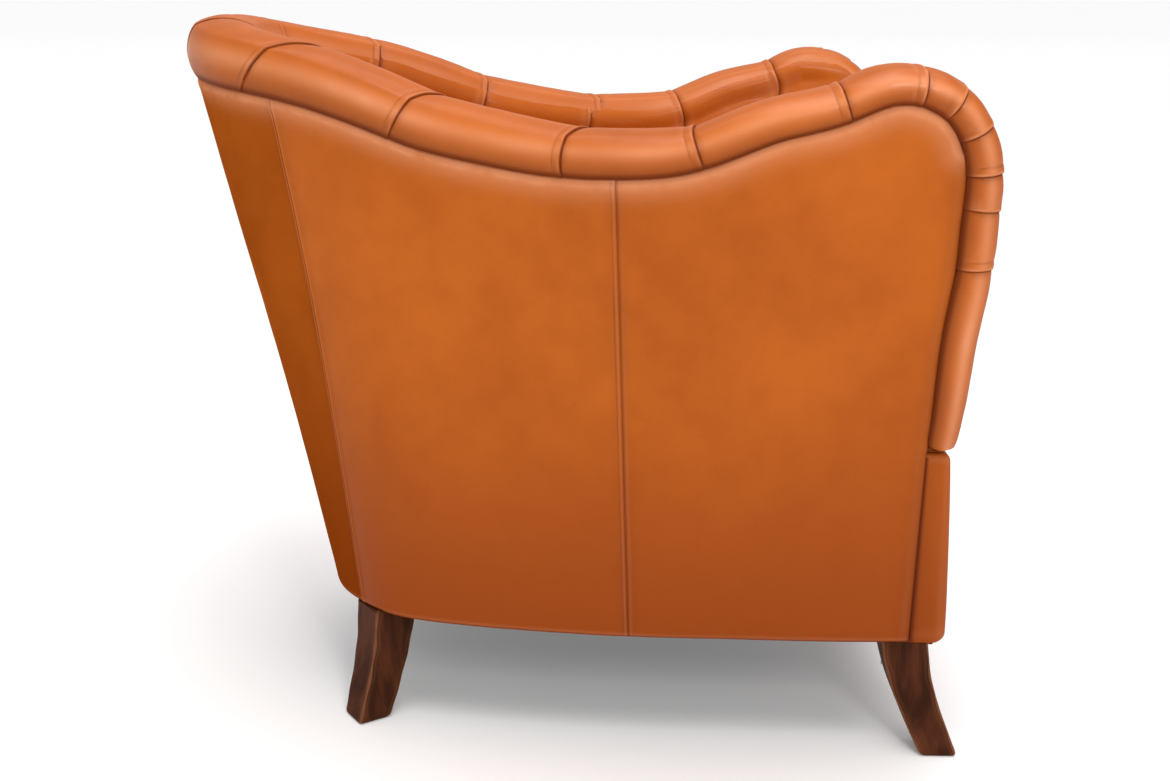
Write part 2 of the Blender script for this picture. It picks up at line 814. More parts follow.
class Maker:
    """Gathers grids of points into one mesh."""

    def __init__(self) -> None:
        """Starts with nothing."""
        self.points: list = []
        self.faces: list = []
        self.marks: dict = {"crease": [], "burnish": [], "wrinkle": [], "arris": []}
        self.count = 0

    def add_points(self, points: Array, marks: dict) -> int:
        """Adds points and their marks.

        Args:
            points: Array of points, of any shape with three numbers at the end.
            marks: Arrays of numbers by the name of a mark.

        Returns:
            The number of the first one.
        """
        flat = np.asarray(points, float).reshape(-1, 3)
        self.points.append(flat)
        for name, values in self.marks.items():
            given = marks.get(name)
            full = np.zeros(len(flat)) if given is None else np.broadcast_to(given, points.shape[:-1]).reshape(-1)
            values.append(full)
        first = self.count
        self.count += len(flat)
        return first

    def add_grid(self, points: Array, marks: dict, wrap_rows: bool = False, wrap_columns: bool = False) -> Array:
        """Adds a grid of faces.

        Args:
            points: Grid, rows by columns by three.
            marks: Grids of numbers by the name of a mark.
            wrap_rows: True where the last row joins the first.
            wrap_columns: True where the last column joins the first.

        Returns:
            Numbers of the grid's points.
        """
        rows, columns = points.shape[:2]
        numbers = self.add_points(points, marks) + np.arange(rows * columns).reshape(rows, columns)
        looped = numbers
        if wrap_rows:
            looped = np.concatenate([looped, looped[:1]], 0)
        if wrap_columns:
            looped = np.concatenate([looped, looped[:, :1]], 1)
        quads = np.stack([looped[:-1, :-1], looped[:-1, 1:], looped[1:, 1:], looped[1:, :-1]], -1)
        self.faces.extend(quads.reshape(-1, 4).tolist())
        return numbers

    def add_cap(self, loop: Array) -> None:
        """Closes a loop of point numbers with a fan round its middle."""
        flat = np.concatenate(self.points)
        marks = {name: np.mean(np.concatenate(values)[loop], keepdims=True) for name, values in self.marks.items()}
        middle = self.add_points(flat[loop].mean(axis=0)[None], marks)
        for first, second in zip(loop, np.roll(loop, -1)):
            self.faces.append([int(first), int(second), middle])

    def add_slab(self, front: Array, back: Array, marks: dict) -> None:
        """Adds a closed slab between two grids of the same size.

        Args:
            front: Grid of the seen face.
            back: Grid of the hidden face.
            marks: Marks of the front, which the back shares.
        """
        first = self.add_grid(front, marks)
        second = self.add_grid(back[::-1], {name: values[::-1] for name, values in marks.items()})[::-1]
        for near, far in (
                (first[0], second[0]), (second[-1], first[-1]),
                (second[:, 0], first[:, 0]), (first[:, -1], second[:, -1]),
        ):
            self.faces.extend(np.stack([far[:-1], far[1:], near[1:], near[:-1]], 1).tolist())

    def build(self, name: str, material: bpy.types.Material, sharp: float = CRISP_ANGLE) -> bpy.types.Object:
        """Makes the piece.

        Args:
            name: Name of the piece.
            material: Its finish.
            sharp: Angle in degrees past which an edge stays crisp.

        Returns:
            The piece, at the origin.
        """
        mesh = bpy.data.meshes.new(name)
        mesh.from_pydata(np.concatenate(self.points).tolist(), [], self.faces)
        for mark, values in self.marks.items():
            full = np.concatenate(values)
            if np.any(full):
                store_mark(mesh, mark, full)
        form = bmesh.new()
        form.from_mesh(mesh)
        bmesh.ops.remove_doubles(form, verts=form.verts, dist=1e-5)
        bmesh.ops.dissolve_degenerate(form, edges=form.edges, dist=1e-7)
        bmesh.ops.recalc_face_normals(form, faces=form.faces)
        form.to_mesh(mesh)
        form.free()
        mesh.shade_smooth()
        mesh.set_sharp_from_angle(angle=math.radians(sharp))
        mesh.materials.append(material)
        return linked(name, mesh)


def tube(name: str, points: Array, marks: dict, material: bpy.types.Material,
         sharp: float = CRISP_ANGLE) -> bpy.types.Object:
    """A piece from a grid whose columns meet, closed at both ends.

    Args:
        name: Name of the piece.
        points: Grid, rows by columns by three.
        marks: Grids of numbers by the name of a mark.
        material: Its finish.
        sharp: Angle in degrees past which an edge stays crisp.

    Returns:
        The piece.
    """
    maker = Maker()
    numbers = maker.add_grid(points, marks, wrap_columns=True)
    maker.add_cap(numbers[0])
    maker.add_cap(numbers[-1])
    return maker.build(name, material, sharp)


def slab(name: str, front: Array, back: Array, marks: dict, material: bpy.types.Material,
         sharp: float = CRISP_ANGLE) -> bpy.types.Object:
    """A piece between two grids of the same size.

    Args:
        name: Name of the piece.
        front: Grid of the seen face.
        back: Grid of the hidden face.
        marks: Marks of the front, which the back shares.
        material: Its finish.
        sharp: Angle in degrees past which an edge stays crisp.

    Returns:
        The piece.
    """
    maker = Maker()
    maker.add_slab(front, back, marks)
    return maker.build(name, material, sharp)


def mirrored_copy(piece: bpy.types.Object, name: str) -> bpy.types.Object:
    """The same piece for the other side of the chair.

    Args:
        piece: Piece of the left side.
        name: Name of the new piece.

    Returns:
        The piece of the right side, with its faces outward.
    """
    mesh = piece.data.copy()
    mesh.name = name
    mesh.transform(Matrix.Diagonal((-1.0, 1.0, 1.0, 1.0)))
    mesh.flip_normals()
    return linked(name, mesh)


def settle(piece: bpy.types.Object, body: str, nodes: tuple) -> bpy.types.Object:
    """Puts a piece on its body in place of its CAD nodes.

    Args:
        piece: The piece.
        body: Body that it rides on.
        nodes: CAD nodes that it stands for.

    Returns:
        The piece.
    """
    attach(piece, body)
    if nodes:
        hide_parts(*nodes)
    LOG.info("%s: %d faces, on %s", piece.name, len(piece.data.polygons), body)
    return piece


# Rolls


class PleatFold:
    """A fold-over pleat: the leather steps down into a fold, with a lapped strip behind it."""

    reach: tuple = (-0.026, -0.015, -0.0075, -0.0032, -0.0011, -0.0004, 0.0003, 0.0011, 0.0028, 0.0062, 0.0090,
                    0.0110, 0.0160, 0.026)
    rise: tuple = (0.0, -0.0002, -0.0006, -0.0011, -0.0018, -0.0021, 0.0001, 0.0006, 0.0005, 0.0000, -0.0005,
                   -0.0002, -0.0001, 0.0)
    stations: tuple = (-0.032, -0.025, -0.019, -0.014, -0.010, -0.007, -0.0045, -0.003, -0.0018, -0.0010, -0.0004,
                       0.0004, 0.0010, 0.0018, 0.003, 0.0045, 0.0065, 0.0085, 0.0098, 0.0110, 0.0125, 0.015,
                       0.019, 0.025, 0.032)

    @classmethod
    def relief(cls, distance: Array, depth: float) -> Array:
        """How far the leather stands out, at distances behind the fold.

        Args:
            distance: Distances behind the fold.
            depth: Depth of the pleat, where 1 is a full one.

        Returns:
            Heights over the full roll.
        """
        return np.interp(distance, cls.reach, cls.rise) * depth

    @staticmethod
    def marks(distance: Array) -> tuple:
        """Darkness of the fold and rub of the lapped strip, at distances behind the fold."""
        fold = bell(distance + 0.0004, 0.0010) + 0.22 * bell(distance + 0.003, 0.004)
        lap = 0.30 * bell(distance - 0.0090, 0.0008) + 0.10 * bell(distance - 0.0090, 0.0025)
        rub = 0.95 * bell(distance - 0.0020, 0.0016) + 0.30 * bell(distance - 0.0120, 0.0025)
        return np.maximum(fold, lap), rub


def rows_between(ends: tuple, step: float, pleats: tuple, stations: tuple, clear: float, least: float) -> Array:
    """Rows for sections or columns, closer together at each pleat.

    Args:
        ends: First and last row.
        step: Largest distance between two of them.
        pleats: Rows that are pleated.
        stations: Distances from a pleat where more of them stand.
        clear: Distance from a pleat up to which no others stand.
        least: Smallest distance between two of them.

    Returns:
        Rows, rising.
    """
    start, end = SHELL.place_of(ends[0]), SHELL.place_of(ends[1])
    places = list(np.linspace(start, end, int((end - start) / step) + 2))
    for pleat in pleats:
        middle = SHELL.place_of(pleat)
        places = [place for place in places if not middle - clear < place < middle + clear
                  or place in (start, end)]
        places += [middle + station for station in stations]
    places = sorted(place for place in places if start - 1e-9 <= place <= end + 1e-9)
    kept = [places[0]]
    for place in places[1:]:
        if place - kept[-1] > least or place == end:
            kept.append(place)
    return SHELL.row_of(kept)


def arc_points(first: tuple, middle: tuple, last: tuple, count: int) -> list:
    """Points on the arc through three points, without its last one."""
    (ax, ay), (bx, by), (cx, cy) = first, middle, last
    turn = 2 * (ax * (by - cy) + bx * (cy - ay) + cx * (ay - by))
    ux = ((ax ** 2 + ay ** 2) * (by - cy) + (bx ** 2 + by ** 2) * (cy - ay) + (cx ** 2 + cy ** 2) * (ay - by)) / turn
    uy = ((ax ** 2 + ay ** 2) * (cx - bx) + (bx ** 2 + by ** 2) * (ax - cx) + (cx ** 2 + cy ** 2) * (bx - ax)) / turn
    begin = math.atan2(ay - uy, ax - ux)
    end = math.atan2(cy - uy, cx - ux)
    if end < begin:
        end += 2 * math.pi
    radius = math.hypot(ax - ux, ay - uy)
    angles = np.linspace(begin, end, count, endpoint=False)
    return [(ux + radius * math.cos(angle), uy + radius * math.sin(angle)) for angle in angles]


@dataclass
class RollCover:
    """The pleated leather roll that sweeps from the front of each arm round the back."""

    finishes: Finishes
    section_step: float = 0.0075
    arc_steps: int = 18
    fullness: float = 0.0012
    end_rounding: float = 0.013
    arm_pleats: tuple = (-3.8, -2.75, -2.1, -1.5, -1.0, -0.5, 1.0, 3.0, 4.75, 7.0, 9.0)
    back_pleats: tuple = (9.0, 11.0)
    corner: float = 9.0
    pleat_clear: float = 0.030
    least_step: float = 0.00025
    end_stations: tuple = (0.0008, 0.002, 0.0035, 0.0052)
    corner_gap: float = 0.0004
    lean_rows: tuple = (-7.0, 5.0, 7.0, 9.0, 10.5, 12.0)
    lean_amounts: tuple = (0.0, 0.0, 0.36, 0.62, 0.3, 0.0)

    def outline(self) -> Array:
        """Unit outline of the roll's section, from its outer tuck over the top and back under."""
        tuck, drop, shoulder = SHELL.tuck_share, -SHELL.tuck_drop_share, 0.77
        points = arc_points((tuck, drop), (1.0, 0.0), (shoulder, 0.77), self.arc_steps)
        points += arc_points((shoulder, 0.77), (0.0, 1.0), (-shoulder, 0.77), self.arc_steps)
        points += arc_points((-shoulder, 0.77), (-1.0, 0.0), (-tuck, drop), self.arc_steps)
        for share in np.linspace(0.0, 1.0, 7, endpoint=False):
            points.append((-tuck + share * 2 * tuck, drop - 0.03 * math.sin(math.pi * share)))
        return np.array(points)

    def surface(self, rows: Array, pleats: tuple, ends: tuple) -> tuple:
        """Pleated sections of the roll.

        Args:
            rows: Rows of the sections.
            pleats: Rows that are pleated.
            ends: Roundings of the first and last end, 0 where it is cut straight.

        Returns:
            Grid of points and its marks.
        """
        outline = self.outline()
        count, around = len(rows), len(outline)
        steps = self.arc_steps * np.array([0.0, 0.5, 1.0, 1.5, 2.0, 3.0])
        lean = np.interp(np.arange(around), [*steps, around], (1.0, 0.73, 0.5, 0.16, 0.0, 0.0, 1.0))
        leaning = rows[:, None] + np.interp(rows, self.lean_rows, self.lean_amounts)[:, None] * lean[None]
        roll = SHELL.roll_frame(leaning.reshape(-1))
        section = np.tile(outline, (count, 1))
        base = roll.centre + roll.outward * (section[:, :1] * roll.half_width[:, None]) \
            + roll.upward * (section[:, 1:] * roll.half_height[:, None])
        base = base.reshape(count, around, 3)
        out = facing_of(base, base - roll.centre.reshape(base.shape), wrap=True)
        places = lengths_along(base, 0)
        rise, crease, burnish = np.zeros((3, *places.shape))
        stops = [rows[0]] + [pleat for pleat in pleats if rows[0] < pleat < rows[-1]] + [rows[-1]]
        whole = SHELL.place_of(rows)
        seen = np.clip((outline[:, 1] + 0.72) / 0.5, 0.0, 1.0)
        for pleat in pleats:
            middle = np.array([np.interp(pleat, rows, places[:, column]) for column in range(places.shape[1])])
            if pleat <= rows[0] or pleat >= rows[-1]:
                middle = middle + (SHELL.place_of(pleat) - SHELL.place_of(np.clip(pleat, rows[0], rows[-1])))
            sway = 0.0012 * np.sin(np.linspace(0, 2 * math.pi, len(outline)) + 1.7 * pleat)
            distance = places - middle - sway
            shown = np.clip((outline[:, 0] + 0.75) / 0.9, 0.0, 1.0) if pleat < 0.5 else np.ones(len(outline))
            depth = (0.75 if pleat < 0 else 0.9) + 0.3 * abs(math.sin(2.3 * pleat))
            rise += PleatFold.relief(distance, depth) * (0.55 + 0.45 * seen) * shown
            dark, rub = PleatFold.marks(distance)
            crease = np.maximum(crease, dark * shown * (0.7 + 0.3 * depth))
            burnish = np.maximum(burnish, rub * (0.35 + 0.65 * seen) * shown * (0.7 if pleat < 0 else 0.35))
        for start, end in zip(stops, stops[1:]):
            share = np.clip((whole - SHELL.place_of(start)) / (SHELL.place_of(end) - SHELL.place_of(start)), 0, 1)
            length = float(SHELL.place_of(end) - SHELL.place_of(start))
            full = self.fullness * min(1.0, length / 0.1)
            rise += (full * np.sin(math.pi * share))[:, None] * (0.3 + 0.7 * seen)
        rise += 0.0008 * ripples(base, 17.0, 3.0) + 0.0003 * ripples(base, 60.0, 8.0)
        for radius, away in zip(ends, (whole - whole[0], whole[-1] - whole)):
            if radius:
                rise -= edge_drop(away, radius, radius)[:, None]
        low = np.maximum(bell(outline[:, 1] + 0.68, 0.22), 0.75 * np.clip(-outline[:, 1] / 0.66, 0, 1) ** 1.5)
        dusk = 0.26 * np.clip((outline[:, 1] - 0.55) / 0.4, 0, 1) * np.clip(0.35 + outline[:, 0], 0, 1)
        crease = np.maximum(crease, (low + dusk)[None])
        handled = 0.80 * bell(outline[:, 1] - 0.26, 0.27)[None] * (0.85 + 0.5 * ripples(base, 9.0, 5.0))
        burnish = np.maximum(burnish, np.clip(handled, 0.0, 1.0))
        wrinkle = 0.2 + 0.8 * np.clip(crease, 0, 1)
        return base + out * rise[:, :, None], {"crease": crease, "burnish": burnish, "wrinkle": wrinkle}

    def sections(self, first: float, last: float, pleats: tuple) -> Array:
        """Rows of the sections between two rows."""
        return rows_between((first, last), self.section_step, pleats, PleatFold.stations, self.pleat_clear,
                            self.least_step)

    def arm(self) -> bpy.types.Object:
        """The left arm's roll, from its rounded lower end to the rear corner."""
        rows = self.sections(-SHELL.facing_rows, self.corner, self.arm_pleats)
        extra = SHELL.row_of(SHELL.place_of(-SHELL.facing_rows) + np.array(self.end_stations))
        rows = np.unique(np.concatenate([rows, extra]))
        points, marks = self.surface(rows, self.arm_pleats, (self.end_rounding, 0.0))
        return tube("arm_roll_cover_left", points, marks, self.finishes.roll)

    def back(self) -> bpy.types.Object:
        """The back roll, between the two rear corners."""
        start = float(SHELL.row_of(SHELL.place_of(self.corner) + self.corner_gap))
        rows = self.sections(start, SHELL.last_row, self.back_pleats)
        points, marks = self.surface(rows, self.back_pleats, (0.0, 0.0))
        points[-1, :, 0] = 0.0
        return tube("back_roll_cover", both_halves(points), both_marks(marks), self.finishes.roll)

    def build(self) -> None:
        """Makes the three rolls."""
        left = self.arm()
        right = mirrored_copy(left, "arm_roll_cover_right")
        back = self.back()
        for piece, node in ((left, "arm_roll_left"), (right, "arm_roll_right"), (back, "back_roll")):
            settle(piece, "frame", (node,))


# Tufted inside


@dataclass
class FlatInside:
    """A part of the inside laid flat: how far each point of its grid stands across and up."""

    rows: Array
    levels: Array
    widths: Array
    heights: Array

    def spot(self, row: float, share: float) -> Array:
        """Flat place of a row and a share of the way up."""
        clipped = float(np.clip(row, self.rows[0], self.rows[-1]))
        column = int(np.argmin(np.abs(self.levels - share)))
        across = np.interp(clipped, self.rows, self.widths[:, column]) + (row - clipped) * 0.07
        index = int(np.argmin(np.abs(self.rows - clipped)))
        return np.array([across, np.interp(share, self.levels, self.heights[index])])

    def fold_distances(self, folds: list) -> tuple:
        """Distance of each point to the nearest fold, and with its sign to the nearest upright one.

        Args:
            folds: Pairs of ends, each a row and a share of the way up.

        Returns:
            Two grids, with 1 where no fold is near.
        """
        distance, upright = np.ones((2, *self.widths.shape))
        for fold in folds:
            (first, low), (second, high) = sorted(fold, key=lambda end: end[1])
            if max(first, second) < self.rows[0] - 0.7 or min(first, second) > self.rows[-1] + 0.7:
                continue
            if first == second:
                inside = (self.levels >= low - 1e-9) & (self.levels <= high + 1e-9)
                beyond = abs(first - np.clip(first, self.rows[0], self.rows[-1])) * 0.06
                for column in np.nonzero(inside)[0]:
                    across = self.widths[:, column]
                    away = across - np.interp(first, self.rows, across) + beyond
                    distance[:, column] = np.minimum(distance[:, column], np.abs(away))
                    nearer = np.abs(away) < np.abs(upright[:, column])
                    upright[:, column] = np.where(nearer, away, upright[:, column])
                continue
            start = self.spot(first, low)
            line = self.spot(second, high) - start
            share = ((self.widths - start[0]) * line[0] + (self.heights - start[1]) * line[1]) / float(line @ line)
            share = np.clip(share, 0.0, 1.0)
            away = np.hypot(self.widths - start[0] - share * line[0], self.heights - start[1] - share * line[1])
            distance = np.minimum(distance, away)
        return distance, upright

    def button_distance(self, places: list) -> Array:
        """Distance of each point to the nearest button, with 1 where none is near."""
        pull = np.ones(self.widths.shape)
        for row, share in places:
            if self.rows[0] - 0.5 <= row <= self.rows[-1] + 0.5:
                spot = self.spot(row, share)
                pull = np.minimum(pull, np.hypot(self.widths - spot[0], self.heights - spot[1]))
        return pull


@dataclass
class TuftedInside:
    """The deep-buttoned inside of the arms and back, in diamonds between three rows of buttons."""

    finishes: Finishes
    column_step: float = 0.0045
    least_step: float = 0.0009
    stations: tuple = (-0.006, -0.003, -0.0015, -0.0005, 0.0005, 0.0015, 0.003, 0.006)
    levels: int = 104
    puff: float = 0.0145
    fold_level: float = 0.0055
    puff_reach: float = 0.017
    low_share: float = 0.40
    mid_share: float = 0.63
    high_share: float = 0.86
    front_row: float = -1.6
    front_columns: int = 26
    corner: float = 9.0
    top_extra: float = 0.13
    lap_share: float = 0.9
    cover_gap: float = 0.004
    sitter: tuple = (0.0, -0.1, 0.6)

    def levels_up(self) -> Array:
        """Shares of the way up, past 1 where the leather runs on to the roll."""
        return np.linspace(0.0, 1.0 + self.top_extra, self.levels)

    def lap(self, row: float, past: Array) -> Array:
        """Points where the inside runs on over the inner flank of the roll and sinks into it.

        Args:
            row: Row of the line.
            past: Shares of the way over the flank.

        Returns:
            One point for each share.
        """
        way = np.array(arc_points((-0.77, 0.77), (-1.0, 0.0), (-SHELL.tuck_share, -SHELL.tuck_drop_share), 24))[::-1]
        spots = np.stack([np.interp(past * self.lap_share, np.linspace(0.0, 1.0, len(way)), way[:, axis])
                          for axis in range(2)], 1)
        spots *= np.interp(past, (0.0, 0.5, 1.0), (1.07, 1.05, 0.965))[:, None]
        roll = SHELL.roll_frame(row)
        return roll.centre + roll.outward * spots[:, :1] * roll.half_width + roll.upward * spots[:, 1:] \
            * roll.half_height

    def line(self, row: float) -> Array:
        """Points up the inside at a row, through the seats of its buttons."""
        levels = self.levels_up()
        floor = SHELL.deck_level + SHELL.fit_gap
        peak = SHELL.wall(row)[1][0, 2] - SHELL.under_roll_gap
        bottom, top = SHELL.inside_depths(np.array([row]))
        within = np.minimum(levels, 1.0)
        points = SHELL.wall_point(row, floor + within * (peak - floor), bottom + within * (top - bottom))
        over = levels > 1.0
        points[over] = self.lap(row, (levels[over] - 1.0) / self.top_extra)
        for _ in range(4):
            points[1:-1] = 0.25 * points[:-2] + 0.5 * points[1:-1] + 0.25 * points[2:]
        return points

    def flank(self, heights: Array) -> Array:
        """Points just inside the facing, behind its inner flank, at heights."""
        rows = np.linspace(-SHELL.facing_rows, 0.0, 240)
        roll = SHELL.roll_frame(rows)
        spots = roll.centre - roll.outward * (0.955 * roll.half_width)[:, None] \
            + roll.upward * (0.25 * roll.half_height)[:, None]
        spots = spots[np.maximum.accumulate(spots[:, 2]) <= spots[:, 2] + 1e-9]
        return np.stack([np.interp(heights, spots[:, 2], spots[:, axis]) for axis in range(3)], 1)

    def folds(self) -> list:
        """Folds of the leather: pairs of a row and a share of the way up."""
        low, mid, high = self.low_share, self.mid_share, self.high_share
        folds = []
        for row in range(1, 16, 2):
            folds.append(((row, -0.05), (row, low)))
            folds.append(((row, high), (row, 1.0 + self.top_extra)))
            for beside in (row - 1, row + 1):
                if 2 <= beside <= 16:
                    folds.append(((row, low), (beside, mid)))
                    folds.append(((row, high), (beside, mid)))
        front = self.front_row
        folds += [((1, high), (front, 0.74)), ((1, low), (front, 0.36)), ((1, high), (0.0, mid)),
                  ((1, low), (0.0, mid)), ((0.0, mid), (front, 0.56))]
        return folds

    def buttons(self) -> list:
        """Rows and shares of the buttons, on the left half and across the middle."""
        places = []
        for row in range(1, 12, 2):
            places += [(row, self.low_share), (row, self.high_share)]
        return places + [(row, self.mid_share) for row in range(2, 13, 2)]

    def cover(self, rows: Array) -> tuple:
        """The seen face of the inside between rows.

        Args:
            rows: Rows of the columns, rising, below 0 ahead of the hump.

        Returns:
            Grid of points, the grid that they stand out from, and marks.
        """
        levels = self.levels_up()
        hump = self.line(0.0)
        ahead = self.flank(hump[:, 2]) - hump
        base = np.array([hump + ahead * (row / rows[0]) if row < 0 else self.line(float(row)) for row in rows])
        out = facing_of(base, np.array(self.sitter) - base.mean(axis=(0, 1)))
        flat = FlatInside(rows, levels, lengths_along(base, 0), lengths_along(base, 1))
        distance, upright = flat.fold_distances(self.folds())
        mirrored = [(2 * SHELL.last_row - row, share) for row, share in self.buttons()]
        pull = flat.button_distance(self.buttons() + mirrored)
        fold = self.fold_level * (1 - bell(pull, 0.034))
        full = 1 - np.exp(-(distance / self.puff_reach) ** 1.15)
        rise = fold + (self.puff - fold) * full
        rise *= 1 - bell(pull, 0.0125)
        rise += 0.0011 * bell(distance - 0.0055, 0.003) * (1 - bell(pull, 0.02))
        top = eased(levels, 1.0 + self.top_extra, 0.86)[None]
        bottom = eased(levels, -0.02, 0.09)[None]
        rise = rise * (top * bottom) + (PleatFold.relief(upright, 1.0) - 0.0002) * (1 - top)
        rise += (0.0011 * ripples(base, 19.0, 5.0) + 0.0005 * ripples(base, 55.0, 9.0)) * (top * bottom)
        crease = np.maximum(0.92 * bell(distance, 0.0022), 0.45 * bell(distance, 0.006))
        crease = np.maximum(crease, 0.85 * bell(pull, 0.011))
        dark, rub = PleatFold.marks(upright)
        crease = crease * top + dark * (1 - top)
        burnish = 0.45 * bell(distance - 0.010, 0.006) * (1 - bell(pull, 0.02)) * top
        burnish += rub * (1 - top)
        wrinkle = np.clip(bell(pull, 0.03) + bell(distance, 0.012), 0.15, 1.0)
        return base + out * rise[:, :, None], base, {"crease": crease, "burnish": burnish, "wrinkle": wrinkle}

    def columns(self, first: float, last: float, pleats: tuple) -> Array:
        """Rows of the columns between two rows, closer together at the pleats."""
        return rows_between((first, last), self.column_step, pleats, self.stations, 0.0, self.least_step)

    def pad(self, name: str, rows: Array, points: Array, base: Array, marks: dict) -> bpy.types.Object:
        """A pad of the inside.

        Args:
            name: Name of the piece.
            rows: Rows of its columns.
            points: Grid of its seen face.
            base: Grid that the face stands out from.
            marks: Marks of the face.

        Returns:
            The pad.
        """
        back = []
        for row, line in zip(rows, base):
            near = SHELL.wall_point(max(row, 0.0), line[:, 2], SHELL.pad_near + self.cover_gap)
            if row < 0:
                aside = 0.7 * np.maximum(near[:, 0] - line[:, 0], self.cover_gap)
                near = line + np.stack([aside, np.full(len(line), self.cover_gap), np.zeros(len(line))], 1)
            back.append(near)
        points[:, :, 2] = np.maximum(points[:, :, 2], SHELL.deck_level + SHELL.fit_gap)
        return slab(name, points, np.array(back), marks, self.finishes.tufted, 60.0)

    def arm(self) -> bpy.types.Object:
        """The tufted inside of the left arm, round to the rear corner."""
        front = np.linspace(self.front_row, 0.0, self.front_columns, endpoint=False)
        rows = np.concatenate([front, self.columns(0.0, self.corner, (1, 3, 5, 7))])
        return self.pad("tufted_arm_inside_left", rows, *self.cover(rows))

    def back(self) -> bpy.types.Object:
        """The tufted inside of the back, between the rear corners."""
        rows = self.columns(self.corner, SHELL.last_row, (11,))
        points, base, marks = self.cover(rows)
        points[-1, :, 0] = base[-1, :, 0] = 0.0
        whole = np.concatenate([rows, 2 * SHELL.last_row - rows[-2::-1]])
        return self.pad("tufted_back_inside", whole, both_halves(points), both_halves(base), both_marks(marks))

    def button_seats(self) -> tuple:
        """Places and facing directions of all buttons.

        Returns:
            Two arrays, a row for each button.
        """
        spots, ways = [], []
        levels = self.levels_up()
        for row, share in self.buttons():
            base = [self.line(one) if one <= SHELL.last_row else self.line(2 * SHELL.last_row - one) * FLIP
                    for one in (row - 0.05, float(row), row + 0.05)]
            index = int(np.argmin(np.abs(levels - share)))
            way = np.cross(base[2][index] - base[0][index], base[1][index + 2] - base[1][index - 2])
            way /= np.linalg.norm(way)
            spot = np.array([np.interp(share, levels, base[1][:, axis]) for axis in range(3)])
            if way @ (np.array(self.sitter) - spot) < 0:
                way = -way
            spots.append(spot)
            ways.append(way)
            if row < SHELL.last_row:
                spots.append(spot * FLIP)
                ways.append(way * FLIP)
        return np.array(spots), np.array(ways)

    def build(self) -> None:
        """Makes the inside of both arms and of the back."""
        left = self.arm()
        right = mirrored_copy(left, "tufted_arm_inside_right")
        back = self.back()
        for piece, node in (
                (left, "inside_arm_pad_left"), (right, "inside_arm_pad_right"), (back, "inside_back_pad"),
        ):
            settle(piece, "frame", (node,))


# Outside leather


def between_sides(bottom: Array, top: Array, left: Array, right: Array) -> Array:
    """A grid of flat places stretched between four sides that meet at their ends.

    Args:
        bottom: Places from left to right.
        top: Places from left to right.
        left: Places from bottom to top.
        right: Places from bottom to top.

    Returns:
        Grid, left to right by bottom to top by two.
    """
    across = np.linspace(0.0, 1.0, len(bottom))[:, None, None]
    up = np.linspace(0.0, 1.0, len(left))[None, :, None]
    straight = (1 - up) * bottom[:, None] + up * top[:, None]
    sideways = (1 - across) * left[None] + across * right[None]
    corners = (1 - across) * (1 - up) * bottom[0] + across * (1 - up) * bottom[-1]
    corners = corners + (1 - across) * up * top[0] + across * up * top[-1]
    return straight + sideways - corners


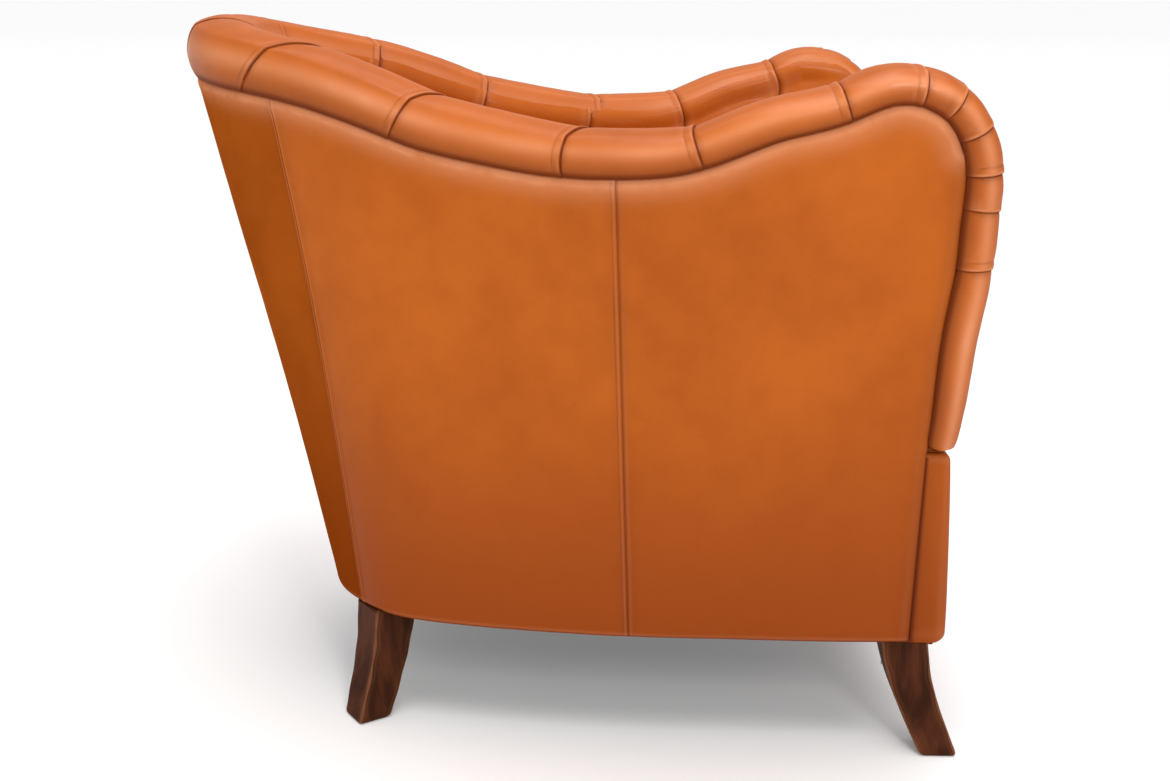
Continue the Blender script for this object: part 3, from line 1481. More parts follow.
@dataclass
class OutsideShell:
    """The outside leather: two front side panels, two rear ones and the back, with their seams."""

    finishes: Finishes
    thickness: float = 0.0038
    swell: float = 0.0020
    rim: float = 0.010
    rim_depth: float = 0.0042
    stitch_offset: float = 0.0052
    side_seam: float = 4.0
    corner_low: float = 8.62
    corner_high: float = 9.22
    step: float = 0.0045
    side_steps: int = 130
    row_length: float = 0.062
    hump_level: float = 0.705

    def place(self, spots: Array, depth: float) -> Array:
        """Points of the wall for a line or grid of rows and heights."""
        return SHELL.wall_point(*spots.reshape(-1, 2).T, depth).reshape(*spots.shape[:-1], 3)

    def front_sides(self) -> tuple:
        """The four sides of the front side panel, as rows and heights."""
        seam = SHELL.row_at_front(SHELL.seam_front - SHELL.fit_gap)
        crease = SHELL.crease(np.linspace(-SHELL.facing_rows, 0.0, 120), -0.0022)
        hump = SHELL.wall_point(0.0, crease[:, 2], 0.0)
        turned = np.stack([(crease[:, 1] - hump[:, 1]) / SHELL.front_post_width, crease[:, 2]], 1)
        turned[:, 0] = np.minimum(turned[:, 0], 0.0)
        turned = turned[turned[:, 1] > SHELL.deck_level + 0.004]
        later = np.linspace(0.02, self.side_seam, 90)
        over = np.stack([later, SHELL.wall(later)[1][:, 2] + 0.002], 1)
        lower = np.linspace([seam, SHELL.floor_gap], [seam, SHELL.deck_level], 60)
        whole = np.concatenate([lower, turned, over])
        corner = len(lower) + int(np.argmin(np.abs(turned[:, 1] - self.hump_level)))
        left, top = whole[:corner + 1], whole[corner:]
        foot = [self.side_seam, SHELL.floor_gap]
        right = np.linspace(foot, top[-1], self.side_steps)
        bottom = np.linspace([seam, SHELL.floor_gap], foot, self.side_steps)
        return bottom, self._even(top), self._even(left), right

    def _even(self, places: Array) -> Array:
        """Even steps along a line of rows and heights, measured on the wall."""
        scale = np.array([self.row_length, 1.0])
        return even_steps(places * scale, self.side_steps) / scale

    def relief(self, base: Array, rim: Array, side: Array, low: Array, seam: Array, ridge: Array) -> tuple:
        """How far the leather stands out and its marks.

        Args:
            base: Grid of points of the wall.
            rim: Distance to the edge under the roll.
            side: Distance to the seam or crease at the front.
            low: Distance to the lower edge.
            seam: Distance to a topstitched seam.
            ridge: Distance to the ridged corner seam.

        Returns:
            Grid of heights and the marks.
        """
        nearest = np.minimum(np.minimum(rim, side), np.minimum(seam + 0.004, ridge + 0.004))
        rise = self.swell * (1 - np.exp(-nearest / 0.035))
        rise -= edge_drop(rim, self.rim, self.rim_depth)
        rise += 0.0010 * bell(rim - 0.011, 0.006)
        gathers = ripples(base * np.array([1.0, 1.0, 0.6]), 62.0, 2.0) + 0.5 * ripples(base, 130.0, 4.0)
        rise += 0.0011 * gathers * np.exp(-rim / 0.020) * np.clip(rim / 0.003, 0, 1)
        rise -= edge_drop(side, 0.006, 0.0026) + edge_drop(low, 0.007, 0.0036)
        rise -= 0.0009 * bell(seam, 0.0009) + 0.0003 * bell(seam - self.stitch_offset, 0.0009)
        rise += 0.0004 * bell(seam - 0.0026, 0.0022)
        rise += 0.0011 * bell(ridge - 0.0020, 0.0017) - 0.0010 * bell(ridge, 0.0007)
        rise -= 0.0003 * bell(ridge - 0.0062, 0.0014)
        rise += 0.0012 * ripples(base, 5.0, 6.0) + 0.0003 * ripples(base, 24.0, 1.0)
        crease = np.maximum.reduce([
            bell(rim, 0.0030), 0.95 * bell(side, 0.0024), 0.30 * bell(side, 0.014),
            0.62 * bell(seam, 0.0008) + 0.30 * bell(seam - self.stitch_offset, 0.0008), 0.14 * bell(seam, 0.009),
            0.45 * bell(ridge, 0.0010) + 0.14 * bell(ridge - 0.0062, 0.0014), 0.14 * bell(ridge, 0.012),
            0.75 * bell(low, 0.0028),
        ])
        burnish = bell(rim - 0.0060, 0.0050) * (0.85 + 0.7 * gathers) + 0.55 * bell(rim - 0.009, 0.015)
        burnish = np.clip(burnish, 0.0, 1.0)
        burnish += 0.30 * bell(ridge - 0.0020, 0.0012) + 0.08 * bell(side - 0.008, 0.004)
        burnish += 0.20 * bell(low - 0.0045, 0.0020) + 0.20 * bell(seam - 0.0028, 0.0012)
        wrinkle = np.clip(0.1 + bell(rim, 0.04) * 0.9 + bell(side, 0.03) * 0.5, 0, 1)
        return rise, {"crease": crease, "burnish": burnish, "wrinkle": wrinkle}

    def panel(self, name: str, spots: Array, distances: dict, middle: bool = False) -> bpy.types.Object:
        """One panel.

        Args:
            name: Name of the piece.
            spots: Grid of rows and heights.
            distances: Distances to its rim and, where it has them, to its side, seam and ridge.
            middle: True for the back, whose last column lies on the middle plane.

        Returns:
            The panel.
        """
        base = self.place(spots, 0.0)
        inner = self.place(spots, self.thickness)
        far = np.ones(base.shape[:2])
        low = base[:, :, 2] - SHELL.floor_gap
        rise, marks = self.relief(base, low=low, **{"side": far, "seam": far, "ridge": far, **distances})
        points = base + facing_of(base, base - inner) * rise[:, :, None]
        points[:, :, 2] = np.maximum(points[:, :, 2], SHELL.floor_gap)
        if not middle:
            return slab(name, points, inner, marks, self.finishes.shell)
        points[-1, :, 0] = inner[-1, :, 0] = 0.0
        return slab(name, both_halves(points), both_halves(inner), both_marks(marks), self.finishes.back)

    def front_panel(self) -> bpy.types.Object:
        """The left front side panel, from the front seam round the hump to the side seam."""
        bottom, top, left, right = self.front_sides()
        spots = between_sides(bottom, top, left, right)
        base = self.place(spots, 0.0)
        rim = distance_to(self.place(np.concatenate([left[-4:], top]), 0.0), base)
        side = distance_to(self.place(left, 0.0), base)
        widths = lengths_along(base, 0)
        return self.panel("outside_front_cover_left", spots, {
            "rim": rim, "side": side, "seam": widths[-1:] - widths,
        })

    def _wall_grid(self, first: tuple, last: tuple) -> tuple:
        """A grid between two lines from the lower edge to the roll, finer at its sides.

        Args:
            first: Row of the first line at the lower edge and at the roll.
            last: Row of the last line at the lower edge and at the roll.

        Returns:
            Grid of rows and heights, distances to the roll and distances to the first line.
        """
        fine = np.array([0.0004, 0.0008, 0.0014, 0.002, 0.0028, 0.0036, 0.0048, 0.0056, 0.0064, 0.0078])
        up = np.linspace(0.0, 1.0, 118)
        up = np.unique(np.concatenate([up, 1 - fine * 1.7, 1 - fine * 1.7 - 0.0135, fine * 1.7]))
        start = SHELL.place_of(first[0] + (first[1] - first[0]) * up)
        end = SHELL.place_of(last[0] + (last[1] - last[0]) * up)
        inner = np.linspace(0.0, 1.0, int(float(end[0] - start[0]) / self.step))[1:-1]
        middle = (start + 0.0088)[None] + inner[:, None] * (end - start - 0.0176)[None]
        rows = SHELL.row_of(np.concatenate([
            start[None], start[None] + fine[:, None], middle, end[None] - fine[::-1, None], end[None],
        ]))
        peak = SHELL.wall(rows.reshape(-1))[1][:, 2].reshape(rows.shape) + 0.002
        spots = np.stack([rows, SHELL.floor_gap + up[None] * (peak - SHELL.floor_gap)], 2)
        base = self.place(spots, 0.0)
        heights = lengths_along(base, 1)
        return spots, heights[:, -1:] - heights, lengths_along(base, 0)

    def rear_panel(self) -> bpy.types.Object:
        """The left rear side panel, between the side seam and the corner seam."""
        ends = (self.side_seam, self.side_seam), (self.corner_low, self.corner_high)
        spots, rim, widths = self._wall_grid(*ends)
        return self.panel("outside_rear_cover_left", spots, {
            "rim": rim, "seam": widths, "ridge": widths[-1:] - widths,
        })

    def back_panel(self) -> bpy.types.Object:
        """The back, between the two corner seams."""
        ends = (self.corner_low, self.corner_high), (SHELL.last_row, SHELL.last_row)
        spots, rim, widths = self._wall_grid(*ends)
        return self.panel("outside_back_cover", spots, {"rim": rim, "ridge": widths + 0.0007}, True)

    def seam_lines(self) -> list:
        """The two lines of topstitching on each side of the left side seam."""
        heights = np.linspace(SHELL.floor_gap + 0.006, SHELL.wall(self.side_seam)[1][0, 2] - 0.006, 220)
        seam = SHELL.place_of(self.side_seam)
        return [SHELL.wall_point(SHELL.row_of(seam + offset), heights, -0.0002)
                for offset in (-self.stitch_offset, self.stitch_offset)]

    def build(self) -> None:
        """Makes the five panels."""
        front = self.front_panel()
        rear = self.rear_panel()
        pieces = [
            (front, "outside_front_panel_left"),
            (mirrored_copy(front, "outside_front_cover_right"), "outside_front_panel_right"),
            (rear, "outside_rear_panel_left"),
            (mirrored_copy(rear, "outside_rear_cover_right"), "outside_rear_panel_right"),
            (self.back_panel(), "outside_back_panel"),
        ]
        for piece, node in pieces:
            settle(piece, "frame", (node,))


@dataclass
class FrontBorder:
    """The padded leather border under the seat, with its side returns and its lip over the deck."""

    finishes: Finishes
    corner_radius: float = 0.008
    lower_radius: float = 0.013
    upper_radius: float = 0.009
    lip: float = 0.0262
    lean: float = 0.0135
    swell: float = 0.0016
    side_radius: float = 0.004
    turn_under: float = 0.030
    thickness: float = 0.0045

    def profile(self, lower: float) -> Array:
        """Heights and insets of the upright section, from under the lower edge to the lip, for a lower radius."""
        low, high = SHELL.floor_gap, SHELL.deck_level - SHELL.fit_gap
        places = [(low, self.turn_under)]
        for angle in np.linspace(0.0, math.pi / 2, 12):
            places.append((low + lower * (1 - math.cos(angle)), lower * (1 - math.sin(angle))))
        for level in np.linspace(low + lower, high - self.upper_radius, 60)[1:-1]:
            places.append((level, 0.0))
        for angle in np.linspace(0.0, math.pi / 2, 12):
            places.append((high - self.upper_radius * (1 - math.sin(angle)),
                           self.upper_radius * (1 - math.cos(angle))))
        for share in np.linspace(0.0, 1.0, 8)[1:]:
            places.append((high, self.upper_radius + share * (self.lip - self.upper_radius)))
        return np.array(places)

    def section(self, part: str, share: float) -> tuple:
        """One upright section of the border.

        Args:
            part: "side", "corner" or "front".
            share: Share of the way along that part.

        Returns:
            Its points, their insets and the flat way inward.
        """
        front, seam, radius = -SHELL.border_front, -SHELL.seam_front, self.corner_radius
        fullness = {"side": 0.0, "corner": share, "front": 1.0}[part]
        profile = self.profile(self.side_radius + fullness * (self.lower_radius - self.side_radius))
        side = SHELL.wall_point(SHELL.row_at_front(SHELL.border_front), profile[:, 0], 0.0)[:, 0]
        if part == "side":
            x, y, way = side, seam + share * (front + radius - seam), (-1.0, 0.0)
        elif part == "corner":
            cosine, sine = math.cos(share * math.pi / 2), math.sin(share * math.pi / 2)
            x, y, way = side - radius * (1 - cosine), front + radius * (1 - sine), (-cosine, sine)
        else:
            x, y, way = (side - radius) * (1 - share), front, (0.0, 1.0)
        return np.stack([x, np.full(len(x), y), profile[:, 0]], 1), profile[:, 1], way

    def build(self) -> None:
        """Makes the border."""
        front, seam = -SHELL.border_front, -SHELL.seam_front
        sections = []
        for part, count, closed in (("side", 16, False), ("corner", 12, False), ("front", 90, True)):
            sections += [self.section(part, share) for share in np.linspace(0.0, 1.0, count, endpoint=closed)]
        points, inset, ways = (np.array(values) for values in zip(*sections))
        points[:, :, 0] = np.maximum(points[:, :, 0] + ways[:, :1] * inset, 0.0)
        points[:, :, 1] = np.minimum(points[:, :, 1] + ways[:, 1:] * inset, seam)
        flat = points[:, :, 1].copy()
        drop = 1 - (points[:, :, 2] - SHELL.floor_gap) / (SHELL.deck_level - SHELL.floor_gap)
        points[:, :, 1] -= self.lean * drop * np.clip((seam - flat) / (seam - front), 0.0, 1.0)
        out = facing_of(points, points - np.array([0.0, -0.40, 0.24]))
        low = points[:, :, 2] - SHELL.floor_gap
        high = SHELL.deck_level - points[:, :, 2]
        behind = np.abs(flat - seam)
        upright = inset < 0.002
        face = np.clip(1 - np.abs(flat - front) / 0.004, 0, 1)
        rise = self.swell * face * (1 - np.exp(-np.minimum(low, high) / 0.03)) * upright
        rise += 0.0007 * ripples(points, 9.0, 4.0) * upright
        rise -= edge_drop(behind, 0.005, 0.0022) * upright
        crease = (0.9 * bell(behind, 0.0026) + 0.25 * bell(behind, 0.012)) * upright
        crease = np.maximum(crease, 0.8 * bell(high - 0.0003, 0.0022) * (behind < 0.02) * upright)
        burnish = 0.10 * bell(flat - front - 0.004, 0.004) + 0.08 * bell(low - 0.012, 0.006)
        burnish += 0.15 * bell(high - 0.006, 0.004)
        shaped = points + out * rise[:, :, None]
        inner = points - out * self.thickness
        shaped[-1, :, 0] = inner[-1, :, 0] = 0.0
        marks = {"crease": crease, "burnish": burnish, "wrinkle": np.full(crease.shape, 0.25)}
        piece = slab("front_border_cover", both_halves(shaped), both_halves(inner), both_marks(marks),
                     self.finishes.shell)
        settle(piece, "frame", ("front_border",))


# Seat


def vertex_values(mesh: bpy.types.Mesh, kind: str) -> Array:
    """Places, "co", or normals, "normal", of a mesh's vertices."""
    values = np.empty(len(mesh.vertices) * 3)
    mesh.vertices.foreach_get(kind, values)
    return values.reshape(-1, 3)


def move_vertices(mesh: bpy.types.Mesh, points: Array) -> None:
    """Puts a mesh's vertices at points."""
    mesh.vertices.foreach_set("co", points.reshape(-1))
    mesh.update()


def finished_mesh(piece: bpy.types.Object) -> bpy.types.Mesh:
    """The mesh that a piece's modifiers give."""
    return bpy.data.meshes.new_from_object(piece.evaluated_get(bpy.context.evaluated_depsgraph_get()))


def apply_modifiers(piece: bpy.types.Object) -> None:
    """Turns a piece with modifiers into a plain mesh."""
    mesh = finished_mesh(piece)
    piece.modifiers.clear()
    piece.data = mesh


@dataclass
class SeatCushion:
    """The loose, boxed seat cushion: foam that swells its leather between welted seams."""

    finishes: Finishes
    height: float = 0.104
    crown: float = 0.015
    side_inset: float = 0.010
    end_inset: float = 0.007
    front: float = 0.424
    clearance: float = 0.017
    voxel: float = 0.0062
    pressure: float = 4.0
    most: float = 0.011
    frames: int = 20
    welt_radius: float = 0.0034
    loop_steps: int = 150
    batch: int = 4000

    def plan(self) -> Array:
        """Half outline of the space for the cushion, from its front to the middle of the back."""
        rows = np.concatenate([[SHELL.row_at_front(self.front)], np.arange(0.0, SHELL.last_row + 0.01, 0.25)])
        depth = SHELL.inside_depths(rows)[0] + self.clearance
        return SHELL.wall_point(rows, SHELL.deck_level + SHELL.fit_gap, depth)

    def start_form(self) -> bpy.types.Object:
        """The slack shape that the foam fills, a little smaller than the finished cushion."""
        plan = self.plan()
        back = float(plan[-1, 1]) - self.end_inset
        front = -self.front + self.end_inset
        middle_y, half = (back + front) / 2, (back - front) / 2
        middle_z = SHELL.deck_level + 0.0035 + self.height / 2
        angles = np.linspace(-math.pi / 2, math.pi / 2, 60)
        around = np.linspace(0.0, 2 * math.pi, 96, endpoint=False)
        across, tall = squared_off(np.cos(around), 0.32), squared_off(np.sin(around), 0.32)
        grid = []
        for along, size in zip(squared_off(np.sin(angles), 0.42), np.abs(np.cos(angles)) ** 0.30):
            y = middle_y + half * along
            wide = float(np.interp(y, plan[:, 1], plan[:, 0])) - self.side_inset
            size = max(size, 0.02)
            x = wide * across * (0.80 + 0.20 * size) * (0.985 if along < 0 else 1.0)
            swell = self.crown * (1 - np.clip(np.abs(x) / wide, 0, 1) ** 2.2) * (1 - abs(along) ** 4)
            z = middle_z + (self.height / 2) * tall * size + np.where(tall > 0, swell * tall, 0.0)
            grid.append(np.stack([x, np.full(len(x), y), z], 1))
        return tube("seat_cushion_cover_fill", np.array(grid), {}, self.finishes.cushion)

    def inflate(self, piece: bpy.types.Object) -> None:
        """Fills the cushion with Blender's cloth, and keeps each point near where it began.

        Args:
            piece: The slack shape, which is remeshed and swollen.
        """
        scene = bpy.context.scene
        remesh = piece.modifiers.new("even", "REMESH")
        remesh.mode = "VOXEL"
        remesh.voxel_size = self.voxel
        apply_modifiers(piece)
        start = vertex_values(piece.data, "co")
        cloth = piece.modifiers.new("fill", "CLOTH")
        settings = cloth.settings
        settings.quality = 5
        settings.mass = 0.4
        settings.tension_stiffness = settings.compression_stiffness = 18.0
        settings.shear_stiffness = 8.0
        settings.bending_stiffness = 1.5
        settings.use_pressure = True
        settings.uniform_pressure_force = self.pressure
        settings.effector_weights.gravity = 0.0
        cloth.collision_settings.use_collision = False
        cloth.collision_settings.use_self_collision = False
        cloth.point_cache.frame_start = 1
        cloth.point_cache.frame_end = self.frames
        for number in range(1, self.frames + 1):
            scene.frame_set(number)
        swollen = finished_mesh(piece)
        moved = vertex_values(swollen, "co") - start
        piece.modifiers.remove(cloth)
        bpy.data.meshes.remove(swollen)
        scene.frame_set(1)
        length = np.linalg.norm(moved, axis=1)
        share = np.where(length > self.most, self.most / np.maximum(length, 1e-9), 1.0)
        move_vertices(piece.data, start + moved * share[:, None])

    def edge_loop(self, piece: bpy.types.Object, upward: float) -> Array:
        """The line round the cushion where its top or underside meets its boxing.

        Args:
            piece: The swollen cushion.
            upward: 1 for the upper edge and -1 for the lower one.

        Returns:
            Smooth closed loop of points.
        """
        points = vertex_values(piece.data, "co")
        flat = points - points.mean(axis=0)
        bearing = np.arctan2(flat[:, 1], flat[:, 0])
        bins = ((bearing + math.pi) / (2 * math.pi) * self.loop_steps).astype(int) % self.loop_steps
        score = np.hypot(flat[:, 0], flat[:, 1]) + upward * 1.15 * flat[:, 2]
        loop = []
        for number in range(self.loop_steps):
            inside = np.nonzero(bins == number)[0]
            if len(inside):
                loop.append(points[inside[np.argmax(score[inside])]])
        loop = smoothed(np.array(loop), 6)
        tree = BVHTree.FromPolygons(points.tolist(), [list(face.vertices) for face in piece.data.polygons])
        return np.array([list(tree.find_nearest(Vector(spot))[0]) for spot in loop])

    def welt(self, name: str, loop: Array) -> bpy.types.Object:
        """A corded seam along a loop.

        Args:
            name: Name of the piece.
            loop: Closed loop of points on the cushion.

        Returns:
            The welt.
        """
        loop = smoothed(even_steps(np.concatenate([loop, loop[:1]]), 420)[:-1], 3)
        ahead = np.roll(loop, -1, axis=0) - np.roll(loop, 1, axis=0)
        ahead /= np.linalg.norm(ahead, axis=1)[:, None]
        outward = loop - np.array([0.0, loop[:, 1].mean(), loop[:, 2].mean()])
        outward -= ahead * np.sum(outward * ahead, axis=1)[:, None]
        outward[:, 2] *= 0.4
        outward /= np.linalg.norm(outward, axis=1)[:, None]
        upward = np.cross(ahead, outward)
        angles = np.linspace(0.0, 2 * math.pi, 12, endpoint=False)
        ring = np.cos(angles)[None, :, None] * outward[:, None] + np.sin(angles)[None, :, None] * upward[:, None]
        points = loop[:, None] + self.welt_radius * ring
        marks = {"crease": 0.5 * np.clip(-np.cos(angles), 0, 1), "burnish": 0.45 * np.clip(np.cos(angles), 0, 1),
                 "wrinkle": 0.4}
        maker = Maker()
        maker.add_grid(points, marks, wrap_rows=True, wrap_columns=True)
        return maker.build(name, self.finishes.cushion)

    def dress(self, piece: bpy.types.Object, loops: list) -> None:
        """Draws the leather in along the seams and marks its folds.

        Args:
            piece: The cushion.
            loops: Its two seams.
        """
        mesh = piece.data
        points = vertex_values(mesh, "co")
        best = np.full(len(points), 1.0)
        for loop in loops:
            dense = even_steps(np.concatenate([loop, loop[:1]]), 700)
            for start in range(0, len(points), self.batch):
                part = slice(start, start + self.batch)
                away = np.sqrt(((points[part, None] - dense[None]) ** 2).sum(axis=2)).min(axis=1)
                best[part] = np.minimum(best[part], away)
        wave, fine = ripples(points, 16.0, 0.0), ripples(points, 48.0, 0.0)
        shift = -0.0022 * bell(best, 0.007) + 0.0012 * wave + 0.0006 * fine * np.exp(-best / 0.03)
        points = points + vertex_values(mesh, "normal") * shift[:, None]
        points[:, 2] = np.maximum(points[:, 2], SHELL.deck_level + 0.0006)
        move_vertices(mesh, points)
        store_mark(mesh, "crease", 0.8 * bell(best, 0.0045))
        store_mark(mesh, "burnish", 0.35 * bell(best - 0.011, 0.007))
        store_mark(mesh, "wrinkle", 0.2 + np.exp(-best / 0.04))

    def build(self) -> None:
        """Makes the cushion and its two welts."""
        piece = self.start_form()
        self.inflate(piece)
        piece.modifiers.new("smooth", "SMOOTH").iterations = 4
        apply_modifiers(piece)
        finer = piece.modifiers.new("finer", "SUBSURF")
        finer.levels = finer.render_levels = 1
        apply_modifiers(piece)
        piece.name = "seat_cushion_body"
        loops = [self.edge_loop(piece, side) for side in (1.0, -1.0)]
        self.dress(piece, loops)
        piece.data.shade_smooth()
        piece.data.materials.clear()
        piece.data.materials.append(self.finishes.cushion)
        settle(piece, "seat_cushion", ("seat_cushion_cover", "seat_cushion_core"))
        for name, loop in zip(("seat_cushion_upper_welt", "seat_cushion_lower_welt"), loops):
            settle(self.welt(name, loop), "seat_cushion", ())


@dataclass
class SeatDeck:
    """The padded deck under the cushion, the roll along its front edge and the cloth under the seat."""

    finishes: Finishes
    deck_thickness: float = 0.0247
    edge_rounding: float = 0.008
    cover_inset: float = 0.006
    cover_thickness: float = 0.0007
    cover_front: float = 0.4231
    cover_gap: float = 0.0002
    strap_rows: tuple = (8.75, 15.25)
    strap_half_width: float = 0.0245
    strap_depths: tuple = (0.0266, 0.0290)

    def outline(self, depth: float, front: float, level: float) -> Array:
        """Half outline inside the shell, from the front to the middle of the back.

        Args:
            depth: Distance inside the shell's outside.
            front: Distance of its front edge ahead of the middle.
            level: Height over the floor.

        Returns:
            Points, the last on the middle plane.
        """
        first = SHELL.row_at_front(front)
        rows = np.concatenate([np.linspace(first, 0.0, 10, endpoint=False), np.linspace(0.0, SHELL.last_row, 110)])
        points = SHELL.wall_point(rows, level, depth)
        points[-1, 0] = 0.0
        points[:, 2] = level
        return points

    @staticmethod
    def spread(edge: Array, across: Array) -> Array:
        """A grid from side to side of a half outline, at shares of its half width."""
        return edge[:, None] * np.stack([across, np.ones(len(across)), np.ones(len(across))], 1)

    def deck(self) -> None:
        """Makes the deck: a slab with rounded edges and a sewn channel behind its front edge."""
        level = SHELL.deck_level
        edge = self.outline(SHELL.pad_near, SHELL.seam_front - 0.0003, level)
        top = self.spread(edge, squared_off(np.linspace(1.0, -1.0, 90), 0.8))
        whole = both_halves(edge)
        whole = np.concatenate([whole, whole[:1]])
        drop = edge_drop(distance_to(whole[::2], top), self.edge_rounding, self.edge_rounding)
        channel = 0.004 * bell(top[:, :, 1] + SHELL.seam_front - 0.075, 0.004)
        wave = 0.0012 * (0.5 + 0.5 * ripples(top, 14.0, 2.0))
        seen, under = top.copy(), top.copy()
        seen[:, :, 2] = level - drop - channel - wave
        under[:, :, 2] = level - self.deck_thickness + 0.4 * drop
        piece = slab("seat_deck_pad", seen, under, {}, self.finishes.decking)
        settle(piece, "frame", ("seat_deck",))

    def front_edge(self) -> None:
        """Makes the foam roll along the front edge, inside the border."""
        lowest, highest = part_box("front_edge_roll")
        middle = (np.array(lowest) + np.array(highest)) / 2
        half = (np.array(highest) - np.array(lowest)) / 2
        angles = np.linspace(0.0, 2 * math.pi, 28, endpoint=False)
        ring = np.stack([squared_off(np.cos(angles), 0.6), squared_off(np.sin(angles), 0.6)], 1)
        grid = []
        for share in np.sin(np.linspace(-math.pi / 2, math.pi / 2, 60)):
            size = (1 - abs(share) ** 30) ** (1 / 2.4) * 0.97 + 0.02
            x = np.full((len(angles), 1), middle[0] + (half[0] - 0.002) * share)
            grid.append(np.concatenate([x, middle[1:] + half[1:] * size * ring * 0.985], 1))
        piece = tube("front_edge_foam_roll", np.array(grid), {}, self.finishes.foam)
        settle(piece, "frame", ("front_edge_roll",))

    def dust_cover(self) -> None:
        """Makes the black cloth that is stapled under the seat frame."""
        level = SHELL.floor_gap + self.cover_gap
        edge = self.outline(self.cover_inset, self.cover_front, level)
        cloth = self.spread(edge, np.linspace(1.0, -1.0, 70))
        wave = 0.00025 * (0.5 + 0.5 * ripples(cloth, 22.0, 7.0))
        lower, upper = cloth.copy(), cloth.copy()
        lower[:, :, 2] = level + wave
        upper[:, :, 2] = level + wave + self.cover_thickness - self.cover_gap
        piece = slab("under_seat_dust_cover", lower, upper, {}, self.finishes.cambric)
        settle(piece, "frame", ("dust_cover",))
        width = float(2 * edge[:, 0].max())
        length = float(edge[:, 1].max() - edge[:, 1].min())
        steps = edge[1:, 1] - edge[:-1, 1]
        area = float(abs(((edge[1:, 0] + edge[:-1, 0]) * steps).sum()))

    def webbing(self) -> None:
        """Makes the three webbing straps of the back, drawn tight from upright to upright."""
        lowest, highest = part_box("back_webbing")
        rows = np.linspace(*self.strap_rows, 120)
        rise = (highest[2] - lowest[2] - 0.05) / 2
        for count in range(3):
            middle = lowest[2] + 0.025 + count * rise
            heights = middle + np.linspace(-self.strap_half_width, self.strap_half_width, 9)
            near, far = (np.array([SHELL.wall_point(rows, height, depth) for height in heights])
                         for depth in self.strap_depths)
            piece = slab(f"back_webbing_strap_{count + 1}", near, far, {}, self.finishes.webbing)
            settle(piece, "frame", ("back_webbing",))

    def build(self) -> None:
        """Makes the deck, the edge roll, the dust cover and the straps."""
        self.deck()
        self.front_edge()
        self.dust_cover()
        self.webbing()


# Legs


@dataclass
class SabreLegs:
    """Four dark legs that bend outward to the foot, with eased arrises."""

    finishes: Finishes
    top_width: float = 0.054
    foot_width: float = 0.042
    easing: float = 0.0032
    toe: float = 0.006
    height: float = 0.125
    bends: tuple = ((0.0, 1.0, 1.0), (0.3, 0.58, 0.72), (0.64, 0.2, 0.38), (1.0, 0.0, 0.0))
    places: tuple = (
        ("front", (0.267, -0.399), (0.042, -0.038), 0.0),
        ("rear", (0.194, 0.209), (0.050, 0.019), -35.0),
    )

    def leg(self, name: str, where: tuple, bend: tuple, turn: float) -> bpy.types.Object:
        """One leg.

        Args:
            name: Name of the piece.
            where: Middle of its top.
            bend: How far the foot stands away from the top.
            turn: Turn of its square section, in degrees.

        Returns:
            The leg.
        """
        table = np.array(self.bends)
        line = Curve(table[:, 0], table[:, 1:])
        levels = np.concatenate([[0.0, 0.003, 0.008, 0.016, 0.028, 0.045], np.linspace(0.07, 0.985, 42), [1.0]])
        corner = np.linspace(0.0, math.pi / 2, 7)
        between = (0.04, 0.12, 0.3, 0.5, 0.7, 0.88, 0.96)
        mark = [math.sin(math.pi * step / (len(corner) - 1)) ** 0.5 for step in range(len(corner))]
        mark = (mark + [0.30 if share in (0.04, 0.96) else 0.06 for share in between]) * 4
        cosine, sine = math.cos(math.radians(turn)), math.sin(math.radians(turn))
        grid, arris = [], []
        for level, (away, narrow) in zip(levels, line.at(levels)):
            half = (self.top_width - narrow * (self.top_width - self.foot_width)) / 2
            eased_off = self.easing * (1.0 + 0.3 * math.sin(level * 21.0))
            half -= float(edge_drop(level * self.height, self.toe, self.toe))
            flat = half - eased_off
            side = [(flat + eased_off * math.cos(angle), flat + eased_off * math.sin(angle)) for angle in corner]
            side += [(flat * (1 - 2 * share), half) for share in between]
            ring = []
            for _ in range(4):
                ring += side
                side = [(-y, x) for x, y in side]
            ring = np.array(ring)
            x = where[0] + bend[0] * away + ring[:, 0] * cosine - ring[:, 1] * sine
            y = where[1] + bend[1] * away + ring[:, 0] * sine + ring[:, 1] * cosine
            grid.append(np.stack([x, y, np.full(len(x), level * self.height)], 1))
            arris.append(np.maximum(mark, 0.3 if level <= 0.012 else 0.0))
        return tube(name, np.array(grid), {"arris": np.array(arris)}, self.finishes.leg, 50.0)

    def build(self) -> None:
        """Makes the four legs."""
        for side in Side:
            for end, (x, y), (aside, along), turn in self.places:
                piece = self.leg(f"sabre_leg_{end}_{side.value}", (side.sign * x, y), (side.sign * aside, along),
                                 side.sign * turn)
                settle(piece, "frame", (f"leg_{end}_{side.value}",))


# Repeated pieces


